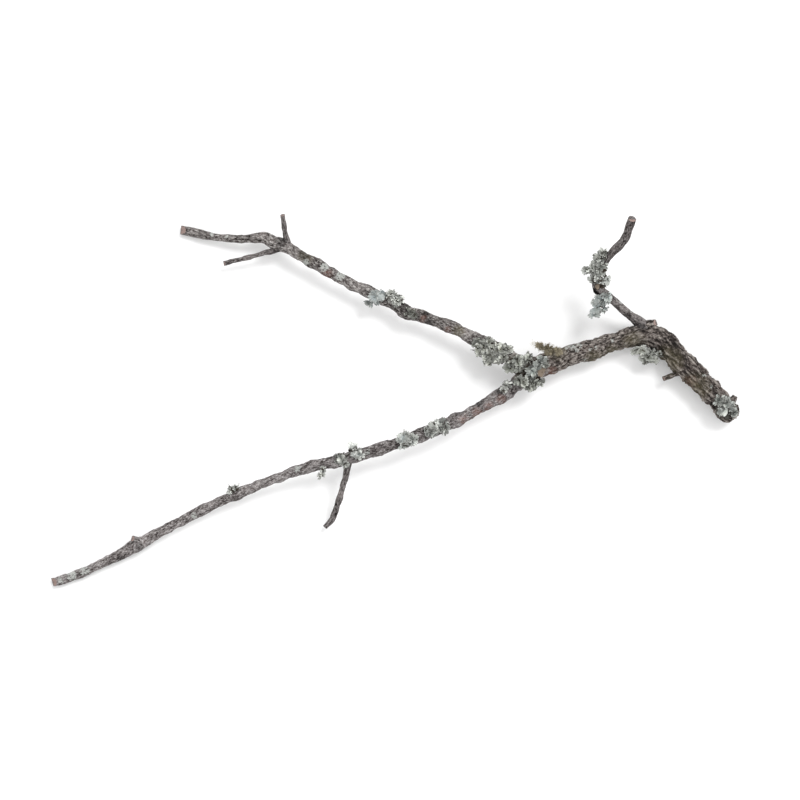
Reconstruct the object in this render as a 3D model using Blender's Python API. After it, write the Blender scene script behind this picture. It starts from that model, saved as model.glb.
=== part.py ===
"""Lichen on a twig: a fallen hardwood branch, forked in two, grown over with leafy lichens.

The branch lies on a flat surface and is seen from straight above. The origin is under the middle
of its outline, on the surface. X runs along its greatest length, towards the thick butt end, and
Z points up.

The wood is built as straight logs that are roughened, bent along their routes and joined at the
crotches. It is parted into pieces just beyond each crotch. Each lichen is made of leafy thalli
that have grown together, drapes over the bark and is cut to fit it.
"""
import math
import random

import bmesh
import bpy
from mathutils import Matrix, Vector

MM = 0.001

# Clear space left between two pieces that touch, and distances at which two points are one, of
# which the first that leaves a piece closed is used
GAP = 0.3
HAIRS = (0.02, 0.005, 0.001, 0.0)

# Share of the faces kept where the leafy lobes of a lichen have grown together, and how many
# throws of the dice a lichen has to come out as one sound solid
FACES_KEPT = 0.6
THROWS = 12

# Distance between the rings of a limb's skin, and the number of sides of each ring
STEM_RING, STEM_SIDES = 5.5, 14
ARM_RING, ARM_SIDES = 6.6, 8
TWIG_RING, TWIG_SIDES = 5.5, 7
STUB_RING, STUB_SIDES = 4.5, 6

# Bark relief: plate length along the limb, plate width round it, height of the plates, height
# of the slow swellings
STEM_BARK = (12.0, 7.0, 3.0, 5.0)
ARM_BARK = (15.0, 7.0, 1.7, 3.6)
TWIG_BARK = (12.0, 6.0, 0.9, 1.8)
STUB_BARK = (9.0, 4.0, 0.5, 0.8)
SWELLING_LENGTH = 20.0

# Share of the relief's height that lies under the limb's true radius
PLATE_SINK = 0.3
SWELLING_SINK = 0.5

# Routes of the limbs: x, y and height of the middle of the wood, then its radius
STEM = [
    (257.0, -13.5, 10.9, 4.5),
    (254.0, -10.5, 10.9, 8.0),
    (249.5, -6.0, 11.2, 9.4),
    (240.5, 3.0, 11.4, 9.6),
    (229.0, 14.5, 11.7, 10.2),
    (216.5, 28.0, 11.9, 10.0),
    (206.0, 39.5, 11.9, 10.2),
    (196.0, 46.5, 12.3, 10.6),
    (185.0, 48.5, 12.9, 9.6),
    (173.5, 46.0, 13.4, 8.4),
    (162.0, 43.0, 13.9, 7.8),
    (147.0, 38.5, 14.9, 8.0),
    (132.0, 34.0, 15.9, 8.4),
    (118.5, 29.0, 16.9, 8.8),
    (106.5, 24.5, 17.4, 9.0),
    (98.0, 21.0, 17.9, 8.0),
    (91.5, 18.5, 18.1, 3.6),
]
UPPER_ARM = [
    (100.5, 23.0, 17.9, 7.0),
    (92.0, 29.0, 18.9, 6.6),
    (84.5, 34.0, 19.4, 6.2),
    (72.5, 41.0, 19.4, 5.7),
    (57.5, 49.0, 18.9, 5.2),
    (42.5, 56.0, 17.9, 4.8),
    (27.0, 61.0, 16.9, 4.3),
    (13.5, 67.0, 16.3, 4.9),
    (-15.0, 79.0, 15.5, 4.8),
    (-45.5, 95.0, 15.9, 4.7),
    (-60.0, 104.0, 15.9, 4.4),
    (-72.0, 110.0, 15.7, 4.4),
    (-81.0, 115.5, 15.3, 5.0),
    (-90.0, 118.5, 14.7, 4.7),
    (-99.0, 121.5, 12.8, 4.1),
    (-112.0, 121.8, 10.4, 3.2),
    (-142.5, 125.0, 5.4, 3.3),
    (-155.5, 128.0, 3.6, 3.5),
    (-161.5, 129.0, 3.4, 3.6),
]
LOWER_ARM = [
    (96.0, 16.5, 17.9, 7.5),
    (88.5, 10.5, 18.4, 6.6),
    (81.0, 5.0, 18.9, 5.7),
    (65.0, -4.5, 20.9, 4.9),
    (34.5, -19.0, 23.9, 5.0),
    (4.5, -30.5, 25.4, 4.9),
    (-26.0, -40.5, 24.9, 4.9),
    (-40.5, -44.0, 23.9, 4.7),
    (-56.0, -47.5, 22.4, 4.4),
    (-71.0, -52.0, 20.9, 3.9),
    (-101.0, -62.5, 16.9, 3.9),
    (-131.5, -76.0, 13.1, 3.95),
    (-161.5, -91.0, 9.8, 4.1),
    (-177.0, -99.0, 8.6, 4.0),
    (-186.0, -104.5, 8.0, 4.6),
    (-193.0, -108.0, 7.3, 4.8),
    (-202.0, -113.5, 6.7, 4.1),
    (-233.0, -128.5, 4.85, 3.75),
    (-246.0, -133.5, 4.55, 3.6),
    (-258.0, -137.0, 4.65, 3.7),
]
ELBOW_TWIG = [
    (188.5, 54.0, 12.9, 5.0),
    (183.0, 59.5, 14.9, 3.9),
    (175.5, 65.0, 18.9, 3.25),
    (167.5, 71.5, 23.9, 3.15),
    (159.5, 78.0, 28.9, 3.05),
    (152.5, 83.5, 32.9, 3.2),
    (150.3, 88.7, 36.9, 3.2),
    (152.5, 96.0, 41.9, 3.0),
    (156.5, 103.5, 46.4, 3.0),
    (161.3, 110.0, 50.9, 3.1),
    (166.6, 115.0, 54.9, 3.2),
    (170.2, 120.0, 58.9, 3.5),
    (172.0, 126.5, 63.9, 3.2),
    (173.8, 133.0, 69.9, 3.4),
]
TOP_TWIG = [
    (-80.0, 116.5, 15.4, 3.2),
    (-80.6, 121.5, 16.9, 2.6),
    (-81.6, 126.5, 19.9, 2.1),
    (-82.2, 132.0, 23.9, 1.9),
    (-83.2, 138.8, 27.9, 1.9),
]
SIDE_TWIG = [
    (-84.0, 115.0, 14.9, 3.2),
    (-90.0, 113.0, 14.4, 2.4),
    (-99.5, 110.5, 13.3, 1.9),
    (-109.7, 107.7, 11.9, 1.9),
    (-119.6, 105.4, 10.5, 1.9),
    (-128.5, 103.5, 9.3, 2.1),
]
LOW_TWIG = [
    (-33.6, -43.5, 23.9, 3.6),
    (-34.8, -50.5, 22.4, 2.7),
    (-36.3, -57.0, 20.4, 2.3),
    (-38.6, -65.0, 17.9, 2.3),
    (-40.5, -72.0, 15.4, 2.5),
    (-42.6, -78.5, 13.2, 2.3),
    (-44.4, -84.6, 11.1, 2.7),
    (-47.7, -90.2, 8.9, 2.4),
    (-52.3, -95.2, 6.9, 1.9),
]

# Short broken stubs that are one with the wood they grow from
PEG_STUB = [(216.5, 22.5, 11.9, 2.6), (209.5, 19.5, 12.6, 1.9), (201.8, 16.5, 13.1, 1.9)]
ELBOW_STUB = [(188.0, 52.0, 14.9, 3.6), (191.5, 57.0, 17.9, 2.8), (197.0, 59.5, 19.9, 2.3)]
BUTT_SPUR = [(250.5, -4.0, 12.9, 4.0), (254.5, 1.0, 13.9, 2.4), (257.0, 6.0, 14.9, 0.9)]
SWELLING_STUB = [(-189.0, -107.0, 8.4, 3.6), (-193.7, -104.5, 10.4, 2.8), (-197.0, -103.3, 11.7, 2.4)]

# Where each limb parts from the wood that carries it, measured along the limb from the first
# point of its route
UPPER_ARM_PART = 27.0
LOWER_ARM_PART = 24.0
ELBOW_TWIG_PART = 13.0
TOP_TWIG_PART = 8.0
SIDE_TWIG_PART = 8.5
LOW_TWIG_PART = 8.0

# Depth that a lichen's underside goes into the bark before it is cut to fit, the height of a
# lobe's edge over the bark, and how far a lobe sinks for each millimetre past the limb's side
SETTLE = 2.4
EDGE_LIFT = 1.1
DROOP = 0.25

# Lobes of one thallus, share of a lobe's reach at the notch beside it and at its lower shoulder,
# share of the way to the notch at which a shoulder stands, share of the reach where the inner
# ring lies, and how far the rim is ruffled up and down
LOBES = 4
SMALL_THALLUS, SMALL_LOBES = 4.5, 3
NOTCH = 0.66
SHOULDER = 0.88
SHOULDER_BEARING = 0.5
INNER_RING = 0.6
RUFFLE = 0.9

# Lichens: name, limbs they grow on, thickness, and the leafy thalli that each is grown from, as
# the middle in x and y and the reach of the longest lobe
LICHENS = [
    ("lichen_butt_rosette", ["stem"], 2.2, [
        (245.0, 0.5, 5.5), (250.0, -3.5, 6.5), (244.0, -7.5, 6.0), (254.0, -9.0, 4.5), (249.5, -12.0, 4.0)]),
    ("lichen_elbow_hanging", ["stem"], 2.0, [
        (185.0, 37.0, 6.0), (180.0, 37.0, 4.0), (191.0, 33.0, 7.0), (196.5, 32.5, 5.0)]),
    ("lichen_twig_hanging", ["elbow_twig"], 2.2, [
        (153.5, 75.5, 5.5), (151.0, 69.5, 6.5), (148.5, 65.0, 4.5), (158.5, 76.5, 5.0), (157.0, 69.0, 4.0)]),
    ("lichen_twig_kink", ["elbow_twig"], 2.2, [
        (157.0, 90.0, 5.5), (155.5, 86.0, 4.5), (151.5, 89.0, 5.0), (147.5, 90.5, 4.5)]),
    ("lichen_twig_upper", ["elbow_twig"], 2.2, [
        (154.0, 109.0, 5.5), (151.0, 104.5, 5.5), (153.0, 99.5, 6.0), (146.5, 98.0, 5.0),
        (142.0, 97.0, 3.5), (151.5, 94.5, 4.5)]),
    ("lichen_fork_left", ["upper"], 2.6, [(86.5, 24.0, 5.5), (92.5, 28.5, 6.5), (99.5, 31.5, 5.5)]),
    ("lichen_fork_middle", ["stem"], 3.0, [(109.5, 28.5, 6.5), (104.5, 22.5, 7.0), (116.0, 24.0, 6.5)]),
    ("lichen_fork_low", ["lower", "stem"], 2.8, [(96.0, 14.0, 6.5), (102.0, 12.0, 6.5), (108.0, 15.0, 5.5)]),
    ("lichen_fork_upper", ["upper", "stem"], 2.8, [
        (63.5, 39.5, 7.5), (71.0, 43.5, 6.0), (72.5, 33.5, 7.5), (79.0, 38.0, 6.5), (85.0, 39.0, 5.5),
        (70.0, 29.5, 4.5), (81.0, 31.5, 4.5)]),
    ("moss_tuft", ["stem"], 2.4, [
        (116.0, 39.5, 5.5), (122.0, 38.0, 4.5), (110.5, 40.5, 4.5), (108.0, 42.0, 3.0)]),
    ("lichen_white_patch", ["lower"], 1.6, [(84.0, 12.0, 4.5), (81.5, 8.5, 3.5)]),
    ("lichen_upper_wrap", ["upper"], 1.4, [(-13.5, 77.0, 7.0), (-18.5, 73.0, 4.0), (-9.0, 80.5, 4.0)]),
    ("lichen_upper_curl", ["upper"], 2.2, [(-2.0, 80.0, 5.0), (3.0, 76.0, 5.0)]),
    ("lichen_upper_bump", ["upper"], 2.0, [(6.5, 69.0, 5.0), (13.5, 66.5, 5.5), (18.0, 62.0, 4.5)]),
    ("lichen_lower_patch_b", ["lower"], 1.8, [
        (29.5, -20.0, 6.0), (35.5, -16.5, 6.0), (27.0, -24.0, 5.0), (38.0, -21.0, 4.5)]),
    ("lichen_lower_patch_a", ["lower"], 2.0, [(6.5, -27.0, 6.5), (13.5, -28.5, 5.5), (6.5, -32.5, 5.0)]),
    ("lichen_lower_star", ["lower"], 2.0, [(-30.0, -36.0, 6.0), (-26.0, -40.0, 4.5)]),
    ("lichen_lower_ruffle", ["lower"], 2.0, [(-39.5, -43.0, 5.5), (-46.5, -45.0, 4.5), (-36.5, -47.0, 4.0)]),
    ("lichen_lower_beard", ["lower"], 1.6, [(-53.0, -51.0, 3.5), (-54.0, -55.0, 3.5), (-55.5, -57.0, 2.5)]),
    ("lichen_lower_tuft", ["lower"], 1.8, [(-122.0, -66.0, 4.5), (-118.5, -64.5, 3.5)]),
]

# Colours in linear light, each with its roughness
BARK_COLOUR, BARK_ROUGHNESS = (0.13, 0.11, 0.10), 0.9
LICHEN_COLOUR, LICHEN_ROUGHNESS = (0.46, 0.53, 0.47), 0.95
MOSS_COLOUR, MOSS_ROUGHNESS = (0.22, 0.21, 0.09), 1.0


def clear_scene():
    for thing in list(bpy.data.objects):
        bpy.data.objects.remove(thing, do_unlink=True)


def new_collection(name):
    collection = bpy.data.collections.new(name)
    bpy.context.scene.collection.children.link(collection)
    return collection


def new_material(name, colour, roughness):
    material = bpy.data.materials.new(name)
    material.use_nodes = True
    shader = material.node_tree.nodes["Principled BSDF"]
    shader.inputs["Base Color"].default_value = (*colour, 1.0)
    shader.inputs["Roughness"].default_value = roughness
    shader.inputs["Metallic"].default_value = 0.0
    return material


def bark_textures():
    """Plates with low grooves between them, and slow swellings."""
    plates = bpy.data.textures.new("bark plates", "VORONOI")
    plates.noise_scale = 1.0
    plates.weight_1 = -1.0
    plates.weight_2 = 1.0
    plates.noise_intensity = 2.0
    swellings = bpy.data.textures.new("bark swellings", "CLOUDS")
    swellings.noise_scale = 1.0
    swellings.noise_depth = 1
    return plates, swellings


def guide_curve(name, route, log_radius, guides):
    """A smooth curve through the route, whose radius at each point is a share of the log's."""
    data = bpy.data.curves.new(name, "CURVE")
    data.dimensions = "3D"
    data.use_stretch = True
    data.use_deform_bounds = True
    spline = data.splines.new("BEZIER")
    spline.bezier_points.add(len(route) - 1)
    for point, (x, y, z, radius) in zip(spline.bezier_points, route):
        point.co = Vector((x, y, z)) * MM
        point.radius = radius / log_radius
        point.handle_left_type = "AUTO"
        point.handle_right_type = "AUTO"
    guide = bpy.data.objects.new(name, data)
    guide.hide_render = True
    guide.display_type = "WIRE"
    guides.objects.link(guide)
    return guide


def ruler(name, size, guides):
    """An empty whose size is the real size of one cell of a texture."""
    empty = bpy.data.objects.new(name, None)
    empty.scale = [value * MM for value in size]
    guides.objects.link(empty)
    return empty


def roughen(log, texture, measure, height, sink):
    displace = log.modifiers.new(texture.name, "DISPLACE")
    displace.texture = texture
    displace.texture_coords = "OBJECT"
    displace.texture_coords_object = measure
    displace.mid_level = sink
    displace.strength = height * MM


def frozen(thing, name, collection):
    """A plain mesh object of what the modifiers make, in place of the object they were on."""
    bpy.context.view_layer.update()
    graph = bpy.context.evaluated_depsgraph_get()
    mesh = bpy.data.meshes.new_from_object(thing.evaluated_get(graph))
    mesh.transform(thing.matrix_world)
    bpy.data.objects.remove(thing, do_unlink=True)
    result = bpy.data.objects.new(name, mesh)
    collection.objects.link(result)
    return result


def make_limb(name, route, ring, sides, bark, textures, parts, guides):
    """A straight log, roughened as bark, then bent and tapered along the route."""
    plate_length, plate_width, plate_height, swelling_height = bark
    log_radius = sum(point[3] for point in route) / len(route)
    guide = guide_curve(name + "_route", route, log_radius, guides)
    length = guide.data.splines[0].calc_length()
    shell = bmesh.new()
    bmesh.ops.create_cone(
        shell, cap_ends=True, segments=sides, radius1=log_radius * MM, radius2=log_radius * MM,
        depth=length, matrix=Matrix.Rotation(math.pi / 2, 4, "Y"))
    lengthwise = [edge for edge in shell.edges if abs(edge.verts[0].co.x - edge.verts[1].co.x) > length / 2]
    bmesh.ops.subdivide_edges(shell, edges=lengthwise, cuts=round(length / MM / ring) - 1)
    mesh = bpy.data.meshes.new(name)
    shell.to_mesh(mesh)
    shell.free()
    log = bpy.data.objects.new(name, mesh)
    parts.objects.link(log)
    plates, swellings = textures
    plate = ruler("plate", (plate_length, plate_width, plate_width), guides)
    swelling = ruler("swelling", (SWELLING_LENGTH,) * 3, guides)
    roughen(log, plates, plate, plate_height, PLATE_SINK)
    roughen(log, swellings, swelling, swelling_height, SWELLING_SINK)
    bend = log.modifiers.new("bend", "CURVE")
    bend.object = guide
    return frozen(log, name, parts)


def point_along(route, distance):
    """The point on a route at a distance from its start, and the direction of the route there."""
    left = distance
    for start, end in zip(route, route[1:]):
        step = Vector(end[:3]) - Vector(start[:3])
        if left <= step.length or end == route[-1]:
            return (Vector(start[:3]) + step.normalized() * left) * MM, step.normalized()
        left -= step.length
    return None


def keep_side(limb, point, normal):
    """Cuts the limb at a plane, keeps what is on the side of the normal and closes the cut."""
    shell = bmesh.new()
    shell.from_mesh(limb.data)
    everything = shell.verts[:] + shell.edges[:] + shell.faces[:]
    cut = bmesh.ops.bisect_plane(
        shell, geom=everything, dist=1e-7, plane_co=point, plane_no=normal, clear_inner=True)
    rim = [item for item in cut["geom_cut"] if isinstance(item, bmesh.types.BMEdge)]
    bmesh.ops.edgeloop_fill(shell, edges=rim)
    bmesh.ops.recalc_face_normals(shell, faces=shell.faces[:])
    shell.to_mesh(limb.data)
    shell.free()


def part_limb(limb, route, distance, parts):
    """Parts a limb from its root. Returns the root, which is joined to the wood that carries it."""
    root = bpy.data.objects.new(limb.name + "_root", limb.data.copy())
    parts.objects.link(root)
    point, direction = point_along(route, distance)
    half_gap = direction * (GAP / 2 * MM)
    keep_side(limb, point + half_gap, direction)
    keep_side(root, point - half_gap, -direction)
    return root


def combine(base, others, operation, parts):
    """A Boolean of the base with each of the others in turn."""
    for other in others:
        boolean = base.modifiers.new(operation, "BOOLEAN")
        boolean.operation = operation
        boolean.solver = "EXACT"
        boolean.object = other
    return frozen(base, base.name, parts)


def is_sound(mesh):
    """Whether a mesh is closed, with its faces outwards."""
    shell = bmesh.new()
    shell.from_mesh(mesh)
    sound = all(edge.is_manifold for edge in shell.edges) and shell.calc_volume(signed=True) > 0.0
    shell.free()
    return sound


def keep_largest_body(shell):
    unseen = set(shell.faces)
    bodies = []
    while unseen:
        front = [unseen.pop()]
        body = list(front)
        while front:
            face = front.pop()
            for edge in face.edges:
                for other in edge.link_faces:
                    if other in unseen:
                        unseen.remove(other)
                        front.append(other)
                        body.append(other)
        bodies.append(body)
    largest = max(bodies, key=lambda body: sum(face.calc_area() for face in body))
    spare = [face for body in bodies if body is not largest for face in body]
    bmesh.ops.delete(shell, geom=spare, context="FACES")


def tidy_shell(thing):
    """Merges points that are as good as one and makes triangles, in the first way that leaves the
    shell sound, and keeps its largest body. Returns whether there was such a way."""
    for hair in HAIRS:
        for method in ("BEAUTY", "EAR_CLIP"):
            shell = bmesh.new()
            shell.from_mesh(thing.data)
            bmesh.ops.remove_doubles(shell, verts=shell.verts[:], dist=hair * MM)
            bmesh.ops.dissolve_degenerate(shell, edges=shell.edges[:], dist=hair / 2 * MM)
            bmesh.ops.triangulate(shell, faces=shell.faces[:], ngon_method=method)
            keep_largest_body(shell)
            tidied = bpy.data.meshes.new(thing.name)
            shell.to_mesh(tidied)
            shell.free()
            if is_sound(tidied):
                thing.data = tidied
                return True
    return False


def thin_out(thing, parts):
    """Collapses the small facets of a lichen, unless that would tear it."""
    whole = thing.data.copy()
    collapse = thing.modifiers.new("thin out", "DECIMATE")
    collapse.ratio = FACES_KEPT
    thinned = frozen(thing, thing.name, parts)
    if not is_sound(thinned.data):
        thinned.data = whole
    return thinned


def swollen(thing, guides):
    """A copy of a piece, grown by the gap, that cuts its neighbours clear of it."""
    copy = bpy.data.objects.new(thing.name + "_clearance", thing.data.copy())
    guides.objects.link(copy)
    grow = copy.modifiers.new("grow", "DISPLACE")
    grow.strength = GAP * MM
    grow.mid_level = 0.0
    return frozen(copy, copy.name, guides)


def bark_height(routes, x, y):
    """Height of the bark under a plan position. Past the limb's side it sinks away slowly."""
    heights = []
    for route in routes:
        nearest = math.inf
        for start, end in zip(route, route[1:]):
            step = Vector((end[0] - start[0], end[1] - start[1]))
            share = (Vector((x, y)) - Vector(start[:2])).dot(step) / step.length_squared
            middle = Vector(start).lerp(Vector(end), min(1.0, max(0.0, share)))
            away = math.hypot(x - middle.x, y - middle.y)
            if away < nearest:
                nearest = away
                height, radius = middle.z, middle.w
        if nearest < radius:
            heights.append(height + math.sqrt(radius * radius - nearest * nearest))
        else:
            heights.append(height - DROOP * (nearest - radius))
    return max(heights)


def thallus_outline(reach, dice):
    """Three bearings and reaches for each lobe: the notch before it and its two shoulders."""
    count = SMALL_LOBES if reach <= SMALL_THALLUS else LOBES
    turn = dice.uniform(0.0, math.tau)
    lobes = []
    for index in range(count):
        bearing = turn + (index + dice.uniform(-0.22, 0.22)) * math.tau / count
        lobes.append((bearing, reach * dice.uniform(0.72, 1.0)))
    outline = []
    for index, (bearing, length) in enumerate(lobes):
        before, length_before = lobes[index - 1]
        after = lobes[(index + 1) % count][0]
        back = (bearing - before) % math.tau / 2
        ahead = (after - bearing) % math.tau / 2
        shoulders = [length, SHOULDER * length]
        dice.shuffle(shoulders)
        outline.append((bearing - back, NOTCH * min(length, length_before)))
        outline.append((bearing - back * SHOULDER_BEARING, shoulders[0]))
        outline.append((bearing + ahead * SHOULDER_BEARING, shoulders[1]))
    return outline


def make_thallus(name, routes, middle, reach, thickness, dice, parts):
    """A flattened sphere whose rim is pulled out into ruffled lobes and draped over the bark."""
    outline = thallus_outline(reach, dice)
    columns = len(outline)
    ruffles = [RUFFLE * dice.uniform(-1.0, 1.0) for column in outline]
    shell = bmesh.new()
    bmesh.ops.create_uvsphere(shell, u_segments=columns, v_segments=3, radius=1.0)
    for vert in shell.verts:
        column = round(math.atan2(vert.co.y, vert.co.x) / math.tau * columns) % columns
        bearing, length = outline[column]
        if vert.co.z > 0.9:
            length, rise = 0.0, thickness
        elif vert.co.z > 0.0:
            length, rise = INNER_RING * length, 0.8 * thickness + ruffles[column] / 2
        elif vert.co.z > -0.9:
            rise = ruffles[column]
        else:
            length, rise = 0.0, -SETTLE - EDGE_LIFT
        x = middle[0] + length * math.cos(bearing)
        y = middle[1] + length * math.sin(bearing)
        vert.co = Vector((x, y, bark_height(routes, x, y) + EDGE_LIFT + rise)) * MM
    mesh = bpy.data.meshes.new(name)
    shell.to_mesh(mesh)
    shell.free()
    thallus = bpy.data.objects.new(name, mesh)
    parts.objects.link(thallus)
    return thallus


def make_lichen(name, routes, thickness, thalli, dice, parts):
    """The thalli of one lichen, joined in one closed solid."""
    grown = []
    for x, y, reach in thalli:
        grown.append(make_thallus(name, routes, (x, y), reach, thickness, dice, parts))
    first, others = grown[0], grown[1:]
    first.name = name
    lichen = combine(first, others, "UNION", parts)
    for other in others:
        bpy.data.objects.remove(other, do_unlink=True)
    return thin_out(lichen, parts)


def build_wood(parts, guides):
    """The wood's nodes by name. Each is one closed solid."""
    textures = bark_textures()

    def limb(name, route, ring, sides, bark):
        return make_limb(name, route, ring, sides, bark, textures, parts, guides)

    stem = limb("main_stem", STEM, STEM_RING, STEM_SIDES, STEM_BARK)
    upper = limb("upper_branch", UPPER_ARM, ARM_RING, ARM_SIDES, ARM_BARK)
    lower = limb("lower_branch", LOWER_ARM, ARM_RING, ARM_SIDES, ARM_BARK)
    elbow_twig = limb("elbow_twig", ELBOW_TWIG, TWIG_RING, TWIG_SIDES, TWIG_BARK)
    top_twig = limb("upper_top_twig", TOP_TWIG, TWIG_RING, STUB_SIDES, TWIG_BARK)
    side_twig = limb("upper_side_twig", SIDE_TWIG, TWIG_RING, STUB_SIDES, TWIG_BARK)
    low_twig = limb("lower_twig", LOW_TWIG, TWIG_RING, STUB_SIDES, TWIG_BARK)
    stem_parts = [
        limb("peg_stub", PEG_STUB, STUB_RING, STUB_SIDES, STUB_BARK),
        limb("elbow_stub", ELBOW_STUB, STUB_RING, STUB_SIDES, STUB_BARK),
        limb("butt_spur", BUTT_SPUR, STUB_RING, STUB_SIDES, STUB_BARK),
        part_limb(upper, UPPER_ARM, UPPER_ARM_PART, parts),
        part_limb(lower, LOWER_ARM, LOWER_ARM_PART, parts),
        part_limb(elbow_twig, ELBOW_TWIG, ELBOW_TWIG_PART, parts),
    ]
    upper_parts = [
        part_limb(top_twig, TOP_TWIG, TOP_TWIG_PART, parts),
        part_limb(side_twig, SIDE_TWIG, SIDE_TWIG_PART, parts),
    ]
    lower_parts = [
        limb("swelling_stub", SWELLING_STUB, STUB_RING, STUB_SIDES, STUB_BARK),
        part_limb(low_twig, LOW_TWIG, LOW_TWIG_PART, parts),
    ]
    stem = combine(stem, stem_parts, "UNION", parts)
    upper = combine(upper, upper_parts, "UNION", parts)
    lower = combine(lower, lower_parts, "UNION", parts)
    for spare in stem_parts + upper_parts + lower_parts:
        bpy.data.objects.remove(spare, do_unlink=True)
    return [stem, upper, lower, elbow_twig, top_twig, side_twig, low_twig]


def overlap(one, other):
    """Whether the boxes of two pieces meet."""
    corners = []
    for thing in (one, other):
        places = [vert.co for vert in thing.data.vertices]
        low = [min(place[axis] for place in places) for axis in range(3)]
        high = [max(place[axis] for place in places) for axis in range(3)]
        corners.append((low, high))
    (low_a, high_a), (low_b, high_b) = corners
    return all(low_a[axis] < high_b[axis] and low_b[axis] < high_a[axis] for axis in range(3))


def build_lichens(wood, parts, guides):
    """The lichens, each cut clear of the bark and of the lichens made before it. A piece cuts them
    both as it is and grown by the gap, because a grown skin folds in narrow places."""
    routes = {"stem": STEM, "upper": UPPER_ARM, "lower": LOWER_ARM, "elbow_twig": ELBOW_TWIG}
    clearances = [swollen(piece, guides) for piece in wood] + wood
    lichens = []
    for name, limbs, thickness, thalli in LICHENS:
        for throw in range(THROWS):
            dice = random.Random(name + str(throw))
            lichen = make_lichen(name, [routes[limb] for limb in limbs], thickness, thalli, dice, parts)
            sound = is_sound(lichen.data)
            if sound:
                near = [clearance for clearance in clearances if overlap(lichen, clearance)]
                lichen = combine(lichen, near, "DIFFERENCE", parts)
                sound = tidy_shell(lichen)
            if sound:
                break
            bpy.data.objects.remove(lichen, do_unlink=True)
        else:
            raise RuntimeError(name + " doesn't come out sound")
        lichen.name = name
        clearances += [swollen(lichen, guides), lichen]
        lichens.append(lichen)
    return lichens


def main():
    clear_scene()
    parts = new_collection("lichen_on_a_twig")
    guides = new_collection("guides")
    wood = build_wood(parts, guides)
    for piece in wood:
        if not tidy_shell(piece):
            raise RuntimeError(piece.name + " isn't sound")
    lichens = build_lichens(wood, parts, guides)
    bark = new_material("weathered bark", BARK_COLOUR, BARK_ROUGHNESS)
    lichen_skin = new_material("foliose lichen", LICHEN_COLOUR, LICHEN_ROUGHNESS)
    moss = new_material("moss", MOSS_COLOUR, MOSS_ROUGHNESS)
    for piece in wood:
        piece.data.materials.append(bark)
    for piece in lichens:
        piece.data.materials.append(moss if piece.name == "moss_tuft" else lichen_skin)
    for guide in list(guides.objects):
        bpy.data.objects.remove(guide, do_unlink=True)


main()
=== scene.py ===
"""Lichen on a twig, dressed: rough bark, cut ends, leafy lichens and a tuft of moss.

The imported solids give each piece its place. Every limb of the wood is modelled again as a fine
straight log, carved as bark and bent along its route, and the lichens are grown lobe by lobe over
the solids that stand for them.
"""
import math
import random

import bpy
from bpy.props import FloatProperty, FloatVectorProperty, IntProperty, PointerProperty
from mathutils import Matrix, Vector
from mathutils.bvhtree import BVHTree


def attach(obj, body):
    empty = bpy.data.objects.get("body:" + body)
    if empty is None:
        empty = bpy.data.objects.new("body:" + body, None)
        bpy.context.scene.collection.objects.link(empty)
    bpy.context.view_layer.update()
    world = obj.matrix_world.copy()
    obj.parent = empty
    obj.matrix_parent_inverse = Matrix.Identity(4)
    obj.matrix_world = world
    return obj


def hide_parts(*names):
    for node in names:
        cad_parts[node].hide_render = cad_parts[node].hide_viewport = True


bl_info = {
    "name": "Lichen on a twig",
    "version": (1, 0, 0),
    "blender": (4, 5, 0),
    "location": "View3D > Sidebar > Lichen twig",
    "description": "Builds a fallen twig with its bark, leafy lichens and moss",
    "category": "Object",
}

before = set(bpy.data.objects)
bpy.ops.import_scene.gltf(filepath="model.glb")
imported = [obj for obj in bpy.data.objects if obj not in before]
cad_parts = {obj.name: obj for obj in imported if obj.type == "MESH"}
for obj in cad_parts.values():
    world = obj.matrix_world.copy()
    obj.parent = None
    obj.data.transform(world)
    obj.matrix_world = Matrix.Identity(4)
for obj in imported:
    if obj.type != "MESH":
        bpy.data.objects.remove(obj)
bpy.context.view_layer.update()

MM = 0.001

# Routes of the limbs in mm: x, y and height of the middle of the wood, and its radius. They follow the
# solids' routes, and leave them by up to a millimetre where the bark or a stub needs it
STEM = [
    (257, -13.5, 10.9, 4.5), (254, -10.5, 10.9, 8), (249.5, -6, 11.2, 9.4),
    (240.5, 3, 11.4, 9.6), (229, 14.5, 11.7, 10.2), (216.5, 28, 11.9, 10),
    (206, 39.5, 11.9, 10.2), (196, 46.5, 12.3, 10.6), (185, 48.5, 12.9, 9.6),
    (173.5, 46, 13.4, 8.4), (162, 43, 13.9, 7.8), (147, 38.5, 14.9, 8),
    (132, 34, 15.9, 8.4), (118.5, 29, 16.9, 8.8), (106.5, 24.5, 17.4, 9),
    (98, 21, 17.9, 8), (91.5, 18.5, 18.1, 3.6),
]
UPPER_ARM = [
    (100.5, 23, 17.9, 7), (92, 29, 18.9, 6.6), (84.5, 34, 19.4, 6.2),
    (72.5, 40.6, 19.4, 5.8), (57.3, 48.3, 18.9, 5.6), (42.2, 55.2, 17.9, 5.3),
    (29, 60, 16.9, 4.7), (19.5, 63.6, 16.5, 5.2), (10.5, 66.6, 16.3, 6.2), (1.5, 71.6, 15.9, 5.1),
    (-15, 79, 15.5, 4.9),
    (-45.5, 95, 15.9, 4.7), (-60, 104, 15.9, 4.4), (-72, 110, 15.7, 4.4),
    (-81, 115.5, 15.3, 5), (-90, 118.7, 14.7, 5), (-98, 122.6, 12.8, 4.8),
    (-112, 121.8, 10.4, 3.2), (-142.5, 125, 5.4, 3.3), (-155.5, 128, 3.6, 3.5),
    (-161.5, 129, 3.4, 3.6),
]
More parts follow.
